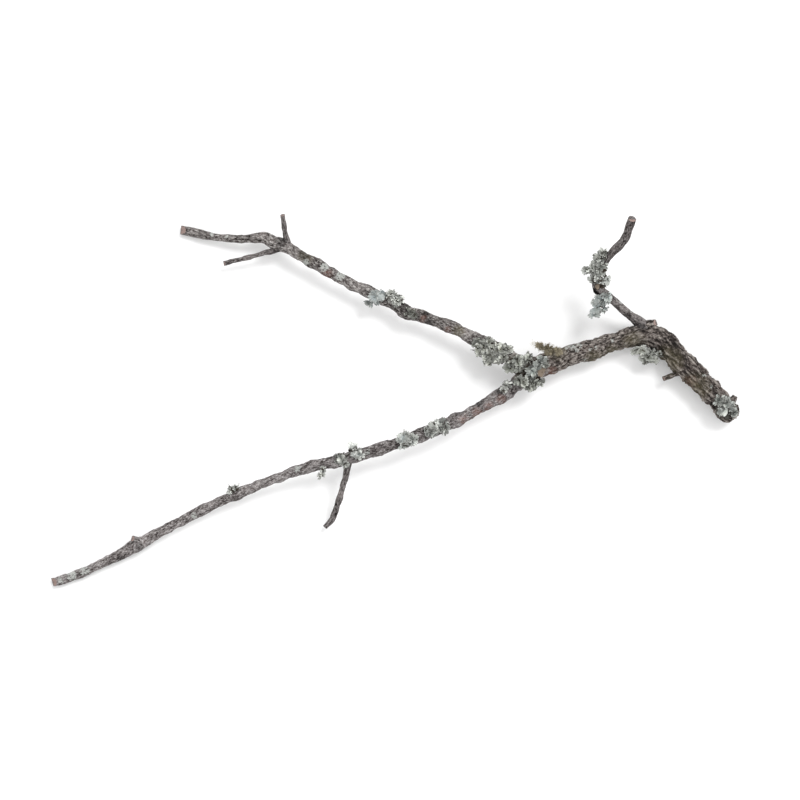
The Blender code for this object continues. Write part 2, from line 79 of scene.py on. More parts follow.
LOWER_ARM = [
    (96, 16.5, 17.9, 7.5), (88.5, 10.5, 18.4, 6.6), (81, 5, 18.9, 5.7),
    (65, -4.8, 20.9, 5.1), (34.5, -19.4, 23.9, 5.3), (4.5, -30.9, 25.4, 5.2),
    (-26, -40.9, 24.9, 5.3), (-40.5, -44.4, 23.9, 5.2), (-56, -47.9, 22.4, 4.6),
    (-71, -52.3, 20.9, 4.1), (-101, -62.8, 16.9, 4.1), (-131.5, -76, 13.1, 3.95),
    (-161.5, -91, 9.8, 4.1), (-177, -99, 8.6, 4), (-186, -104, 8, 5.4),
    (-193, -108, 7.3, 5.5), (-202, -113.5, 6.7, 4.2), (-233, -128.5, 4.85, 3.75),
    (-246, -133.5, 4.55, 3.8), (-258, -137, 4.75, 4),
]
ELBOW_TWIG = [
    (188.5, 53.5, 12.9, 6.5), (183, 59.5, 14.9, 4.6), (175.5, 65.2, 18.9, 3.5),
    (167.5, 71.5, 23.9, 3.3), (159.5, 77.6, 28.9, 3.3), (151.9, 82.9, 32.9, 4.6),
    (150.6, 88.7, 36.9, 3.6), (152.5, 96, 41.9, 3), (156.5, 103.5, 46.4, 3),
    (161.3, 110, 50.9, 3.1), (166.6, 115, 54.9, 3.2), (170.2, 120, 58.9, 3.5),
    (172, 126.5, 63.9, 3.2), (173.8, 133, 69.9, 3.4),
]
TOP_TWIG = [
    (-80, 116.5, 15.4, 3.2), (-80.6, 121.5, 16.9, 2.6), (-81.6, 126.5, 19.9, 2.1),
    (-82.2, 132, 23.9, 1.9), (-83.2, 138.8, 27.9, 1.9),
]
SIDE_TWIG = [
    (-84, 115, 14.9, 3.2), (-90, 113, 14.4, 2.4), (-99.5, 110.5, 13.3, 1.9),
    (-109.7, 107.7, 11.9, 1.9), (-119.6, 105.4, 10.5, 1.9), (-128.5, 103.5, 9.3, 2.1),
]
LOW_TWIG = [
    (-33.6, -43.5, 23.9, 3.6), (-34.8, -50.5, 22.4, 2.7), (-36.3, -57, 20.4, 2.3),
    (-38.6, -65, 17.9, 2.3), (-40.5, -72, 15.4, 2.5), (-42.6, -78.5, 13.2, 2.3),
    (-44.4, -84.6, 11.1, 2.7), (-47.7, -90.2, 8.9, 2.4), (-52.3, -95.2, 6.9, 1.9),
]
PEG_STUB = [(216.5, 22.5, 11.9, 2.6), (209.5, 19.5, 12.6, 1.9), (201.8, 16.5, 13.1, 1.9)]
ELBOW_STUB = [(183, 54, 13, 4.6), (189.5, 57, 15.5, 3.7), (196.3, 58.8, 18.5, 2.5)]
KNOT_STUB = [(105, 26, 18, 4.8), (108.6, 22.8, 23.5, 4.4), (110.9, 21.2, 27.5, 4.2)]
BUTT_SPUR = [(250.5, -4, 12.9, 4), (253.8, 0, 13.6, 3.1), (256, 3.9, 14.4, 2.1)]
SWELLING_STUB = [(-189, -107, 8.4, 3.6), (-193.7, -104.5, 10.4, 2.8), (-197, -103.3, 11.7, 2.4)]

# Where each limb parts from the wood that carries it, as a distance along its route
PARTINGS = {
    "upper_branch": 27, "lower_branch": 24, "elbow_twig": 13,
    "upper_top_twig": 8, "upper_side_twig": 8.5, "lower_twig": 8,
}

# The solids' coarse relief: plate length, plate width, plate height and height of the swellings
STEM_FORM = (12, 7, 3, 5)
ARM_FORM = (15, 7, 1.7, 3.6)
TWIG_FORM = (12, 6, 0.9, 1.8)
STUB_FORM = (9, 4, 0.5, 0.8)
SWELLING_LENGTH = 20

# Share of each relief's height that lies under the log's skin, and hardness of the plates' edges
PLATE_SINK, SWELLING_SINK, RELIEF_SINK = 0.3, 0.5, 0.62
PLATE_HARDNESS = 2

# Fine relief, one layer a line: texture, cell along and across the limb, height, hardness of the
# plates' edges, and the stretch of the limb that it is on ("" is all of it)
STEM_RELIEF = [
    ("VORONOI", 15, 2.9, 1.8, 2.6, "butt"),
    ("VORONOI", 5.5, 1.7, 0.9, 2.2, "butt"),
    ("VORONOI", 5, 2.4, 0.8, 2.4, "trunk"),
    ("CLOUDS", 3.6, 1.9, 1.1, 1, "trunk"),
    ("CLOUDS", 1.9, 1.2, 0.8, 1, ""),
]
ARM_RELIEF = [
    ("VORONOI", 4.6, 2.2, 0.4, 2.2, ""),
    ("CLOUDS", 3.4, 2.2, 0.9, 1, ""),
    ("CLOUDS", 1.5, 1.1, 0.45, 1, ""),
]
TWIG_RELIEF = [
    ("CLOUDS", 6, 1.5, 0.5, 1, ""),
    ("CLOUDS", 1.6, 1, 0.3, 1, ""),
]

# Length of the butt's chunky relief, and the stretch over which it gives way to the trunk's
BUTT_LENGTH, BUTT_FADE = 92, 26

# Length in mm of the stretches that the relief is evened in, and the share of the points left out
# at each end of its range
EVEN_LENGTH = 20
EVEN_TRIM = 1 / 20

# Sawn ends: width of the rim of bark and depth of the wood behind it
BARK_RIM, CUT_DEPTH = 0.45, 0.12

# Depth of the broken kink's holes
HOLLOW_DEPTH = 2.4

# Spots on the wood in plan, as middle and radius in mm: hollows in the broken kink and buds, painted
# black as their shade, bare wood with a dark ring round it, pale crusts and a few pale spots of
# painted light, red bark, green algae, and painted shade in crevices and on shaded sides of the limbs
SPOTS = {
    # Hollows, painted black as their shade
    "hollow": [
        (147.6, 82, 1.7), (149.6, 80.2, 1.7), (151.6, 78.8, 1.5), (150, 88.4, 1.7),
        (-43.6, -77.6, 1.2), (-43.6, -85, 1.1),
    ],
    "bare": [(150.6, 84.6, 2.4), (152.8, 86.6, 2.2), (154, 92, 2.2), (-18, 69.6, 2.2)],
    "crust_and_painted_light": [
        (136.5, 40.5, 6), (130.5, 40.5, 4), (146.5, 38.5, 2), (151, 40, 1.6), (143, 30.5, 1.8),
        # Painted light on this line: a highlight in the broken kink and the elbow twig's paler lit edge
        (163, 45, 1.8), (148.2, 84.8, 1.4), (177.5, 67.5, 2.2), (169.5, 73.8, 2.2), (114, 21.5, 1.6),
        (90, 30, 3), (-40, 94, 4.5), (-52, 100, 4),
        (-66, 104, 3), (-126, 123.5, 1.8), (-137, 125.5, 1.8), (-20, -38, 3),
        (-72, -51, 3.5), (-150, -86, 3), (-243, -131.5, 5), (-233, -127.5, 5),
        (-251, -135, 3), (237, 11, 2.2), (232, 19, 2),
    ],
    "red": [
        (80, 1.5, 5), (71, -4, 5), (62, -8.5, 5), (52, -13.5, 5), (-50, 95, 5),
        (-18, 72.5, 4), (22, 61.5, 3.5), (40, 53, 3.5), (118, 22, 5), (222, 14, 6),
    ],
    "olive": [
        (150, 31, 9), (164, 36, 8), (225, 10, 14), (205, 30, 14), (180, 42, 12),
        (92, 26, 12), (122, 38, 9), (70, 40, 8), (48, 52, 6), (-66, 108, 7),
    ],
    # Painted shade: crevices at the elbow, shaded edges of the elbow twig and the arms, and dark
    # patches
    "shade": [
        (174, 62.8, 3.4), (166, 69.3, 3.2), (158, 75.2, 3.2), (178, 56.5, 4), (185, 55, 4),
        (86, 14.5, 4.5), (78.5, 9, 4.5), (63, -0.5, 4.5), (48.5, -8, 4), (33, -14.5, 3.5),
        (-67, 110, 5), (-84, 119, 5), (8, 71, 5), (26, 58.5, 4), (-191, -110, 4),
        (-206, -118.5, 3), (99, 20, 8), (210, 42, 4), (195, 38, 5),
    ],
}

# Patterns of the bark's colours: length and width of a cell in mm, detail and roughness. They are the
# grain, blotches, specks, the wobble of the plates' edges and the raggedness of the spots. The grain
# and the specks are coarser than real ones, which are too fine to show
BARK_PATTERNS = [
    (2, 1, 5, 0.68), (17, 8, 3, 0.6), (1.1, 0.8, 2, 0.7), (4, 3, 2, 0.6),
    (3, 2, 3, 0.65),
]

# Stretch of a limb, in mm from its start, over which it turns from its darker to its paler end
DARK_END, PALE_END = 80, 300

# Painted shade: the near-black colour of the holes in the broken kink and the buds
HOLE_SHADE_COLOUR = "#120d0b"

# Width of a year ring, and cells of the lichens' patches and grit, in mm
RING_WIDTH = 0.9
LOBE_PATCH, LOBE_GRIT = 7, 1.1

# Settings of a mix of two colours, of a colour that is made lighter or darker, and of sums
BLEND = {"data_type": "RGBA"}
TINT = {"data_type": "RGBA", "blend_type": "MULTIPLY"}
PLUS, TIMES, TIMES_PLUS = [{"operation": name} for name in ("ADD", "MULTIPLY", "MULTIPLY_ADD")]
CLAMPED_TIMES, CLAMPED_TIMES_PLUS = TIMES | {"use_clamp": True}, TIMES_PLUS | {"use_clamp": True}

# Cushions of the moss: the middle in x and y and the reach
MOSS = [
    (116, 38.5, 5), (122, 37, 4.5), (127, 37.5, 3), (110.5, 40, 4), (107.5, 42, 2.4),
    (113, 34.5, 3.5),
]

# Moss shoots in mm: depth of the root, and least and greatest height and width
SHOOT_DEPTH = 1.6
SHOOT_HEIGHTS, SHOOT_WIDTHS = (0.2, 2.2), (2.4, 5)

# Wisps that creep from the moss: their number, start and direction, and steps of a length and width
WISPS = 16
WISP_START, WISP_WAY = (107.5, 42, 24.5), (-1, 0.35, 0.1)
WISP_STEPS, WISP_LENGTH, WISP_WIDTH = 4, 1.3, 2

# How thalli grow, ring by ring: lobes on a thallus of the usual reach, start and end of a lobe as
# shares of the reach, lift of its tip in mm, its width as a share of its length, and its look
USUAL_REACH = 5
HABITS = {
    "star": [
        (8, 0.20, 1.10, 0.9, 0.62, "round"), (5, 0.05, 0.62, 1.3, 0.75, "round"),
        (3, 0, 0.34, 1.7, 0.9, "curled")],
    "ruffle": [
        (10, 0.60, 1.12, 0.6, 0.8, "round"), (7, 0.30, 0.80, 1.1, 0.8, "slim"),
        (5, 0.05, 0.50, 1.5, 0.85, "curled")],
    "antler": [
        (9, 0.50, 1.22, 0.6, 0.85, "slim"), (8, 0.25, 0.85, 1, 0.8, "slim"),
        (5, 0, 0.45, 1.5, 0.8, "curled")],
    "sheet": [
        (5, 0, 1.05, 0.6, 0.9, "sheet"), (3, 0.15, 0.66, 0.8, 0.85, "sheet")],
}

# Small thalli beside each ruffled or antlered one: their number, and distance and reach as shares
SATELLITES, SATELLITE_DISTANCE, SATELLITE_REACH = 2, 0.9, 0.5

# How a lobe lies: depth of its foot, spread of its tip's height, its least length and its clearance
# from the knot, in mm, then its greatest length as a share of the reach, how far it may stand out
# past the solid, and how strongly it turns upwards
FOOT_DEPTH, TIP_SPREAD, LEAST_LENGTH, KNOT_CLEARANCE = 0.5, 0.5, 0.6, 4.2
GREATEST_LENGTH, OVERHANG, UPWARDS = 1.3, 0.45, 0.6

# Thickness of a lobe as a share of its length and width
LOBE_THICKNESS = 0.06

# Crumbs of the beds, and how far a pale bed and a dark one shrink under the lobes, in mm
CRUMB = (1.6, 1.6, 1.2)
PALE_SHRINK, DARK_SHRINK = 1, 2.4

# Lichens: node, how yellow, how blue and how pale the growth is, how dark the bed is that it
# stands on (partly painted shade in the gaps between the lobes), and its thalli, as the middle in x
# and y, the reach of the longest lobe and the habit
LICHENS = [
    ("lichen_butt_rosette", 0.1, 0.4, 0.1, 0.8, [
        (242.5, 1, 5, "star"), (248.5, -3.5, 6.5, "star"), (244, -8.5, 3.6, "sheet"),
        (254.5, -2.5, 3.5, "antler"), (254.5, -8.5, 3.6, "ruffle")]),
    ("lichen_elbow_hanging", 0.5, 0.3, 0.5, 0.8, [
        (185, 37, 6, "sheet"), (180, 37, 4, "sheet"), (191, 33, 6.5, "ruffle"),
        (196.5, 32.5, 4.5, "ruffle")]),
    ("lichen_twig_hanging", 0.1, 0.6, -0.1, 1, [
        (153.5, 75.5, 5.5, "sheet"), (151, 69.5, 6.5, "sheet"), (148.5, 65, 4.5, "sheet"),
        (158.5, 76.5, 5, "star"), (157, 69, 3.5, "antler")]),
    ("lichen_twig_kink", 0.1, 0.4, 0.8, 1, [
        (159, 90, 5, "sheet"), (157.5, 86.5, 4, "sheet"), (151.5, 89, 4, "antler"),
        (147.5, 90.5, 4, "antler")]),
    ("lichen_twig_upper", 0.3, 0.3, 0.7, 1, [
        (154, 109, 5, "antler"), (151, 104.5, 5, "antler"), (153, 99.5, 5, "ruffle"),
        (146.5, 98, 4.5, "antler"), (142, 97, 3.5, "antler"), (151.5, 94.5, 4, "ruffle")]),
    ("lichen_fork_left", 0.4, 0.3, 0, 1, [
        (86.5, 24, 5, "sheet"), (92.5, 28.5, 6, "ruffle"), (99.5, 31.5, 5.5, "antler")]),
    ("lichen_fork_middle", 0.2, 0.4, -0.15, 1, [
        (109.5, 28.5, 5.5, "antler"), (103.5, 22.5, 6, "star"),
        (115, 27, 4.5, "antler"), (116, 20.5, 2.5, "sheet")]),
    ("lichen_fork_low", 0.4, 0.3, 0, 1, [
        (96, 14, 5.5, "antler"), (102, 12, 6, "ruffle"), (107, 13.5, 5, "antler")]),
    ("lichen_fork_upper", 0.5, 0.1, 0.55, 1, [
        (63.5, 39.5, 7, "ruffle"), (71, 43.5, 5.5, "ruffle"), (72.5, 33.5, 7, "ruffle"),
        (79, 38, 6, "antler"), (85, 39, 5, "star"), (70, 29.5, 4.5, "antler"),
        (81, 31.5, 4, "antler")]),
    ("lichen_white_patch", 0, 0.1, 1, 1, [(84, 12, 4.5, "star"), (81.5, 8.5, 3.5, "star")]),
    ("lichen_upper_wrap", 0, 0.8, 0.15, 0.35, [
        (-13.5, 77, 7, "sheet"), (-19.5, 75.5, 5, "sheet"), (-16, 72, 4.5, "sheet"),
        (-9.5, 79.5, 5, "sheet"), (-15, 82, 4.5, "sheet")]),
    ("lichen_upper_curl", 0.2, 0.2, 1, 1, [(-2, 80, 5, "ruffle"), (3, 76, 5, "antler")]),
    ("lichen_upper_bump", 0.2, 0.2, -0.2, 0.8, [
        (5, 72, 2.6, "antler"), (8.5, 68, 2.6, "antler"), (12.5, 66.5, 2.6, "antler"),
        (11.5, 62, 3, "sheet"), (16, 64, 2.6, "antler"), (18, 60.5, 3.2, "antler")]),
    ("lichen_lower_patch_b", 0.1, 0.4, 0.6, 1, [
        (29.5, -20, 5.5, "ruffle"), (35.5, -16.5, 5.5, "antler"), (27, -24, 4.5, "antler"),
        (38, -21, 4, "antler")]),
    ("lichen_lower_patch_a", 0.1, 0.5, 0.35, 1, [
        (6.5, -27, 6, "sheet"), (13.5, -28.5, 5, "antler"), (6.5, -32.5, 4.5, "star")]),
    ("lichen_lower_star", 0, 0.6, 0.75, 1, [(-30, -36, 6, "star"), (-26, -40, 4.5, "star")]),
    ("lichen_lower_ruffle", 0.3, 0.3, 0.6, 1, [
        (-39.5, -43, 5, "ruffle"), (-46.5, -45, 4, "antler"), (-36.5, -47, 4, "ruffle")]),
    ("lichen_lower_beard", 0.3, 0.1, 1.1, 1, [
        (-53, -51, 2.5, "antler"), (-54, -55, 3, "ruffle"), (-55.5, -57, 2, "antler")]),
    ("lichen_lower_tuft", 0.2, 0.3, 0.8, 1, [(-122, -66, 3.5, "antler"), (-118.5, -64.5, 3, "antler")]),
]


# Height of the floor in mm: just under the lowest bark
FLOOR_LEVEL = -0.3

# The light's spread in degrees and its direction
SUN_SPREAD = 22
SUN_WAY = (-0.46, -0.58, -1.0)

# The camera's place over the floor, and the width that the photograph shows at the height of the
# branch's middle, in metres: 800 pixels of 0.75 mm. Then the width of its sensor in mm
CAMERA_PLACE = (0.0045, 0.00075)
PHOTO_WIDTH, BRANCH_HEIGHT = 0.6, 0.015
SENSOR_WIDTH = 36.0


def linear(code):
    """A colour for the shaders from its sRGB hex code."""
    channels = []
    for place in (1, 3, 5):
        value = int(code[place:place + 2], 16) / 255
        channels.append(value / 12.92 if value <= 0.04045 else ((value + 0.055) / 1.055) ** 2.4)
    return (*channels, 1.0)


def colour_choice(name, description, code):
    """A colour that a user may change."""
    return FloatVectorProperty(
        name=name, description=description, subtype="COLOR", size=4, default=linear(code), min=0.0,
        max=1.0)


def cell_choice(limb, size):
    """A fineness of a limb's skin, in mm, that a user may change."""
    return FloatProperty(
        name=limb.capitalize() + " cell", description="Distance between the rings of the skin: " + limb,
        default=size * MM, min=0.3 * MM, max=4.0 * MM, unit="LENGTH")


class WoodSettings(bpy.types.PropertyGroup):
    """Fineness and colours of the wood."""
    stem_cell: cell_choice("stem", 0.7)
    arm_cell: cell_choice("arm", 0.8)
    twig_cell: cell_choice("twig", 0.6)
    # The crack colour is partly the inner bark's own and partly painted shade
    crack: colour_choice("Crack", "Colour deep in the cracks", "#211c1a")
    plate: colour_choice("Plate", "Colour of the bark's plates", "#5b534f")
    ridge: colour_choice("Ridge", "Colour of the weathered ridges", "#a39c96")
    olive: colour_choice("Olive", "Colour of the algae on the bark", "#635d46")
    red: colour_choice("Red", "Colour of young bark", "#7f564a")
    bare: colour_choice("Bare wood", "Colour of wood where the bark is off", "#7b6f62")
    # Also the colour of the spots of painted light on the elbow twig
    crust_and_painted_light: colour_choice("Crust", "Colour of the crusts that are only colour", "#a9aca8")
    cut: colour_choice("Cut wood", "Colour of the cut ends", "#8f7c76")


class LichenSettings(bpy.types.PropertyGroup):
    """Colours and density of the growths."""
    density: FloatProperty(
        name="Density", description="Share of the lobes that are grown", default=1.0, min=0.1,
        max=3.0, subtype="FACTOR")
    grey: colour_choice("Grey green", "Colour of a lobe's middle", "#95958d")
    mint: colour_choice("Mint", "Colour of a pale lobe", "#c9cbc6")
    blue: colour_choice("Blue grey", "Colour of a bluish lobe", "#9aa5a8")
    yellow: colour_choice("Yellow green", "Colour of a yellowish lobe", "#a1a085")
    under: colour_choice("Underside", "Colour of the undersides", "#3b342c")
    moss: colour_choice("Moss", "Colour of the moss", "#736c58")
    moss_tips: colour_choice("Moss tips", "Colour of the moss at the tips of its shoots", "#aba18c")
    moss_shoots: IntProperty(
        name="Moss shoots", description="Number of shoots in the tuft of moss", default=1500,
        min=100, max=5000)


class StageSettings(bpy.types.PropertyGroup):
    """Floor and light."""
    floor: colour_choice("Floor", "Colour of the floor", "#f4f4f4")
    sun: FloatProperty(
        name="Key light", description="Strength of the light from the upper right", default=1.75,
        min=0.0, max=20.0)
    sky: FloatProperty(
        name="Fill light", description="Strength of the light from all round", default=1.07,
        min=0.0, max=5.0)
    camera_height: FloatProperty(
        name="Camera height", description="Height of the camera over the floor", default=2.0,
        min=0.5, max=10.0, unit="LENGTH")


def pick(*things):
    """Selects these objects alone. The first one is active."""
    bpy.ops.object.select_all(action="DESELECT")
    for thing in things:
        thing.select_set(True)
    bpy.context.view_layer.objects.active = things[0]


def add(operator, name, **settings):
    """Adds an object at its size and place, with nothing else selected."""
    bpy.ops.object.select_all(action="DESELECT")
    operator(**settings)
    thing = bpy.context.object
    thing.name = name
    return thing


def select(thing, kind, test):
    """Selects, in edit mode, the points (VERT) or the edges (EDGE) of a mesh that pass the test."""
    pick(thing)
    bpy.ops.object.mode_set(mode="EDIT")
    bpy.ops.mesh.select_mode(type=kind)
    bpy.ops.mesh.select_all(action="DESELECT")
    bpy.ops.object.mode_set(mode="OBJECT")
    for item in thing.data.vertices if kind == "VERT" else thing.data.edges:
        item.select = test(item)
    bpy.ops.object.mode_set(mode="EDIT")


def move_points(thing, test, way):
    """Moves the points that pass the test."""
    select(thing, "VERT", test)
    bpy.ops.transform.translate(value=way)
    leave_edit_mode()


def cut_edges(thing, shortest, cuts):
    """Subdivides the edges that reach further than this along X."""
    points = thing.data.vertices
    select(thing, "EDGE", lambda edge: abs(
        points[edge.vertices[0]].co.x - points[edge.vertices[1]].co.x) > shortest)
    bpy.ops.mesh.subdivide(number_cuts=cuts)
    leave_edit_mode()


def leave_edit_mode():
    bpy.ops.object.mode_set(mode="OBJECT")


def apply_modifier(thing, kind, **settings):
    modifier = thing.modifiers.new(kind.lower(), kind)
    for key, value in settings.items():
        setattr(modifier, key, value)
    pick(thing)
    bpy.ops.object.modifier_apply(modifier=modifier.name)


def join(things):
    """Joins the objects into the first one."""
    pick(*things)
    bpy.ops.object.join()
    return things[0]


def settle(thing):
    """Puts the object's place into its mesh."""
    pick(thing)
    bpy.ops.object.transform_apply(location=True, rotation=True, scale=True)


def remove(*things):
    for thing in things:
        bpy.data.objects.remove(thing, do_unlink=True)


def add_values(mesh, name, values, kind="FLOAT"):
    """An attribute of the points that the materials read."""
    attribute = mesh.attributes.new(name, kind, "POINT")
    flat = values if kind == "FLOAT" else [part for value in values for part in value]
    attribute.data.foreach_set("value" if kind == "FLOAT" else "vector", flat)


def finish_piece(thing, node, materials=()):
    """The piece stands for a node, rides with the branch and takes its finish from a slot."""
    for material in materials:
        thing.data.materials.append(material)
    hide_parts(node)
    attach(thing, "root")


def add_guide(name, route, log_radius):
    """A smooth curve through the route, whose radius at each point is a share of the log's."""
    guide = add(bpy.ops.curve.primitive_bezier_curve_add, name + "_guide")
    guide.data.dimensions = "3D"
    guide.data.use_stretch = True
    guide.data.use_deform_bounds = True
    spline = guide.data.splines[0]
    spline.bezier_points.add(len(route) - 2)
    for point, (x, y, z, radius) in zip(spline.bezier_points, route):
        point.co = Vector((x, y, z)) * MM
        point.radius = radius / log_radius
        point.handle_left_type = "AUTO"
        point.handle_right_type = "AUTO"
    return guide


def add_ruler(size):
    """An empty whose size is the real size of one cell of a texture."""
    ruler = add(bpy.ops.object.empty_add, "ruler")
    ruler.scale = [value * MM for value in size]
    bpy.context.view_layer.update()
    return ruler


def carve(log, kind, cell, height, sink, hardness=1.0, stretch=""):
    """Raises plates with grooves between them, or slow swellings, on a log."""
    texture = bpy.data.textures.new("relief", kind)
    texture.noise_scale = 1.0
    if kind == "VORONOI":
        texture.weight_1 = -1.0
        texture.weight_2 = 1.0
        texture.noise_intensity = hardness
    else:
        texture.noise_depth = 1
    ruler = add_ruler(cell)
    apply_modifier(
        log, "DISPLACE", texture=texture, texture_coords="OBJECT", texture_coords_object=ruler,
        mid_level=sink, strength=height * MM, vertex_group=stretch)
    remove(ruler)


def add_log(name, length, radius, cell):
    """A straight log of small square faces, with its start at the origin end of X."""
    sides = max(12, round(math.tau * radius / cell))
    log = add(
        bpy.ops.mesh.primitive_cylinder_add, name, vertices=sides, radius=radius, depth=length,
        rotation=(0.0, math.pi / 2, 0.0))
    log.data.name = name
    settle(log)
    cuts = max(1, round(math.sqrt(length / cell)) - 1)
    for shortest in (length / 2, length / (cuts + 2)):
        cut_edges(log, shortest, cuts)
    return log


def mark_stretches(log, length):
    """Groups of the stem's points: the thick butt with its chunky plates, and the trunk."""
    butt = log.vertex_groups.new(name="butt")
    trunk = log.vertex_groups.new(name="trunk")
    for point in log.data.vertices:
        along = (point.co.x + length / 2) / MM
        share = min(1.0, max(0.0, (BUTT_LENGTH + BUTT_FADE / 2 - along) / BUTT_FADE))
        butt.add([point.index], share, "REPLACE")
        trunk.add([point.index], 1.0 - share, "REPLACE")


def make_limb(name, route, cell, form, relief, *materials):
    """One limb: a log is carved, its relief is noted for the bark's colours, and it is bent. Then its
    spots are noted, and it gets its materials."""
    radius = sum(point[3] for point in route) / len(route)
    guide = add_guide(name, route, radius)
    length = guide.data.splines[0].calc_length()
    log = add_log(name, length, radius * MM, cell)
    mark_stretches(log, length)
    plate_length, plate_width, plate_height, swelling_height = form
    cell = (plate_length, plate_width, plate_width)
    carve(log, "VORONOI", cell, plate_height, PLATE_SINK, PLATE_HARDNESS)
    carve(log, "CLOUDS", (SWELLING_LENGTH,) * 3, swelling_height, SWELLING_SINK)
    plain = [math.hypot(point.co.y, point.co.z) for point in log.data.vertices]
    for kind, along, across, height, hardness, stretch in relief:
        carve(log, kind, (along, across, across), height, RELIEF_SINK, hardness, stretch)
    points = log.data.vertices
    raised = [math.hypot(point.co.y, point.co.z) - low for point, low in zip(points, plain)]
    straight = [(point.co.x + length / 2, point.co.y, point.co.z) for point in points]
    add_values(log.data, "straight", straight, "FLOAT_VECTOR")
    add_values(log.data, "relief", evened([place[0] for place in straight], raised))
    apply_modifier(log, "CURVE", object=guide)
    remove(guide)
    log.vertex_groups.clear()
    note_spots(log)
    for material in materials:
        log.data.materials.append(material)
    return log


def evened(along, raised):
    """How high each point stands from 0 to 1, measured against its own stretch of the limb."""
    step = EVEN_LENGTH * MM
    stretches = [[] for stretch in range(int(max(along) / step) + 1)]
    for place, value in zip(along, raised):
        stretches[int(max(0.0, place) / step)].append(value)
    ranges = []
    for values in stretches:
        ranked = sorted(values)
        trim = int(len(ranked) * EVEN_TRIM)
        ranges.append((ranked[trim], ranked[-1 - trim]))
    shares = []
    for place, value in zip(along, raised):
        position = min(len(ranges) - 1.0, max(0.0, place / step - 0.5))
        first = int(position)
        second = min(len(ranges) - 1, first + 1)
        blend = position - first
        low = ranges[first][0] * (1 - blend) + ranges[second][0] * blend
        high = ranges[first][1] * (1 - blend) + ranges[second][1] * blend
        shares.append((value - low) / max(high - low, 0.01 * MM))
    return shares


def note_spots(thing):
    """Notes on the points where the crusts, the red bark, the hollows and the other spots are."""
    for name, places in SPOTS.items():
        values = []
        for point in thing.data.vertices:
            value = 0.0
            for x, y, radius in places:
                away = math.hypot(point.co.x - x * MM, point.co.y - y * MM) / (radius * MM)
                value = max(value, 1.0 - away * away)
            values.append(max(0.0, value))
        add_values(thing.data, name, values)


def point_along(route, distance):
    """The point on a route at a distance from its start, and the direction of the route there."""
    left = distance
    for start, end in zip(route, route[1:]):
        step = Vector(end[:3]) - Vector(start[:3])
        if left <= step.length or end == route[-1]:
            return (Vector(start[:3]) + step.normalized() * left) * MM, step.normalized()
        left -= step.length
    raise ValueError("the route has one point")


def cut_off(thing, point, normal):
    """Cuts away what lies beyond a plane and closes the cut. The new face stays selected."""
    pick(thing)
    bpy.ops.object.mode_set(mode="EDIT")
    bpy.ops.mesh.select_mode(type="FACE")
    bpy.ops.mesh.select_all(action="SELECT")
    bpy.ops.mesh.bisect(plane_co=point, plane_no=normal, use_fill=True, clear_outer=True)


def part_limb(limb, route, distance):
    """Parts a limb from its root, with no gap to be seen. Returns the root."""
    pick(limb)
    bpy.ops.object.duplicate()
    root = bpy.context.object
    root.name = limb.name.split(".")[0] + "_root"
    point, direction = point_along(route, distance)
    cut_off(limb, point, -direction)
    leave_edit_mode()
    cut_off(root, point, direction)
    leave_edit_mode()
    return root


def saw_end(thing, route, tilt, back):
    """A clean slanting cut across the free end, with a rim of bark round the bare wood."""
    end, before = Vector(route[-1][:3]), Vector(route[-2][:3])
    direction = (end - before).normalized()
    normal = (direction * math.cos(tilt) + Vector((0.0, 0.0, math.sin(tilt)))).normalized()
    cut_off(thing, (end - direction * back) * MM, normal)
    bpy.ops.mesh.inset(thickness=BARK_RIM * MM, depth=-CUT_DEPTH * MM)
    thing.active_material_index = 1
    bpy.ops.object.material_slot_assign()
    leave_edit_mode()


def smooth(thing, degrees=50.0):
    pick(thing)
    bpy.ops.object.shade_smooth_by_angle(angle=math.radians(degrees))


def add_node(tree, kind, *inputs, result=None, **settings):
    """Adds a shader node with its settings. Its inputs are values or links in the node's order, and
    None leaves one as it is. Gives the named result, or the node's first one."""
    node = tree.nodes.new("ShaderNode" + kind)
    for key, value in settings.items():
        setattr(node, key, value)
    sockets = [socket for socket in node.inputs if socket.enabled]
    for socket, value in zip(sockets, inputs):
        if isinstance(value, bpy.types.NodeSocket):
            tree.links.new(value, socket)
        elif value is not None:
            socket.default_value = value
    if result:
        return node.outputs[result]
    return next(socket for socket in node.outputs if socket.enabled)


def new_material(name, roughness):
    """A material with a rough dielectric shader. Returns it, its tree and its shader."""
    material = bpy.data.materials.new(name)
    material.use_nodes = True
    tree = material.node_tree
    shader = tree.nodes["Principled BSDF"]
    shader.inputs["Roughness"].default_value = roughness
    shader.inputs["IOR"].default_value = 1.45
    shader.inputs["Specular IOR Level"].default_value = 0.25
    return material, tree, shader


def cells(along, across):
    """The scale of a pattern on a limb whose cells have this real length and width in mm."""
    return (1 / (along * MM), 1 / (across * MM), 1 / (across * MM))


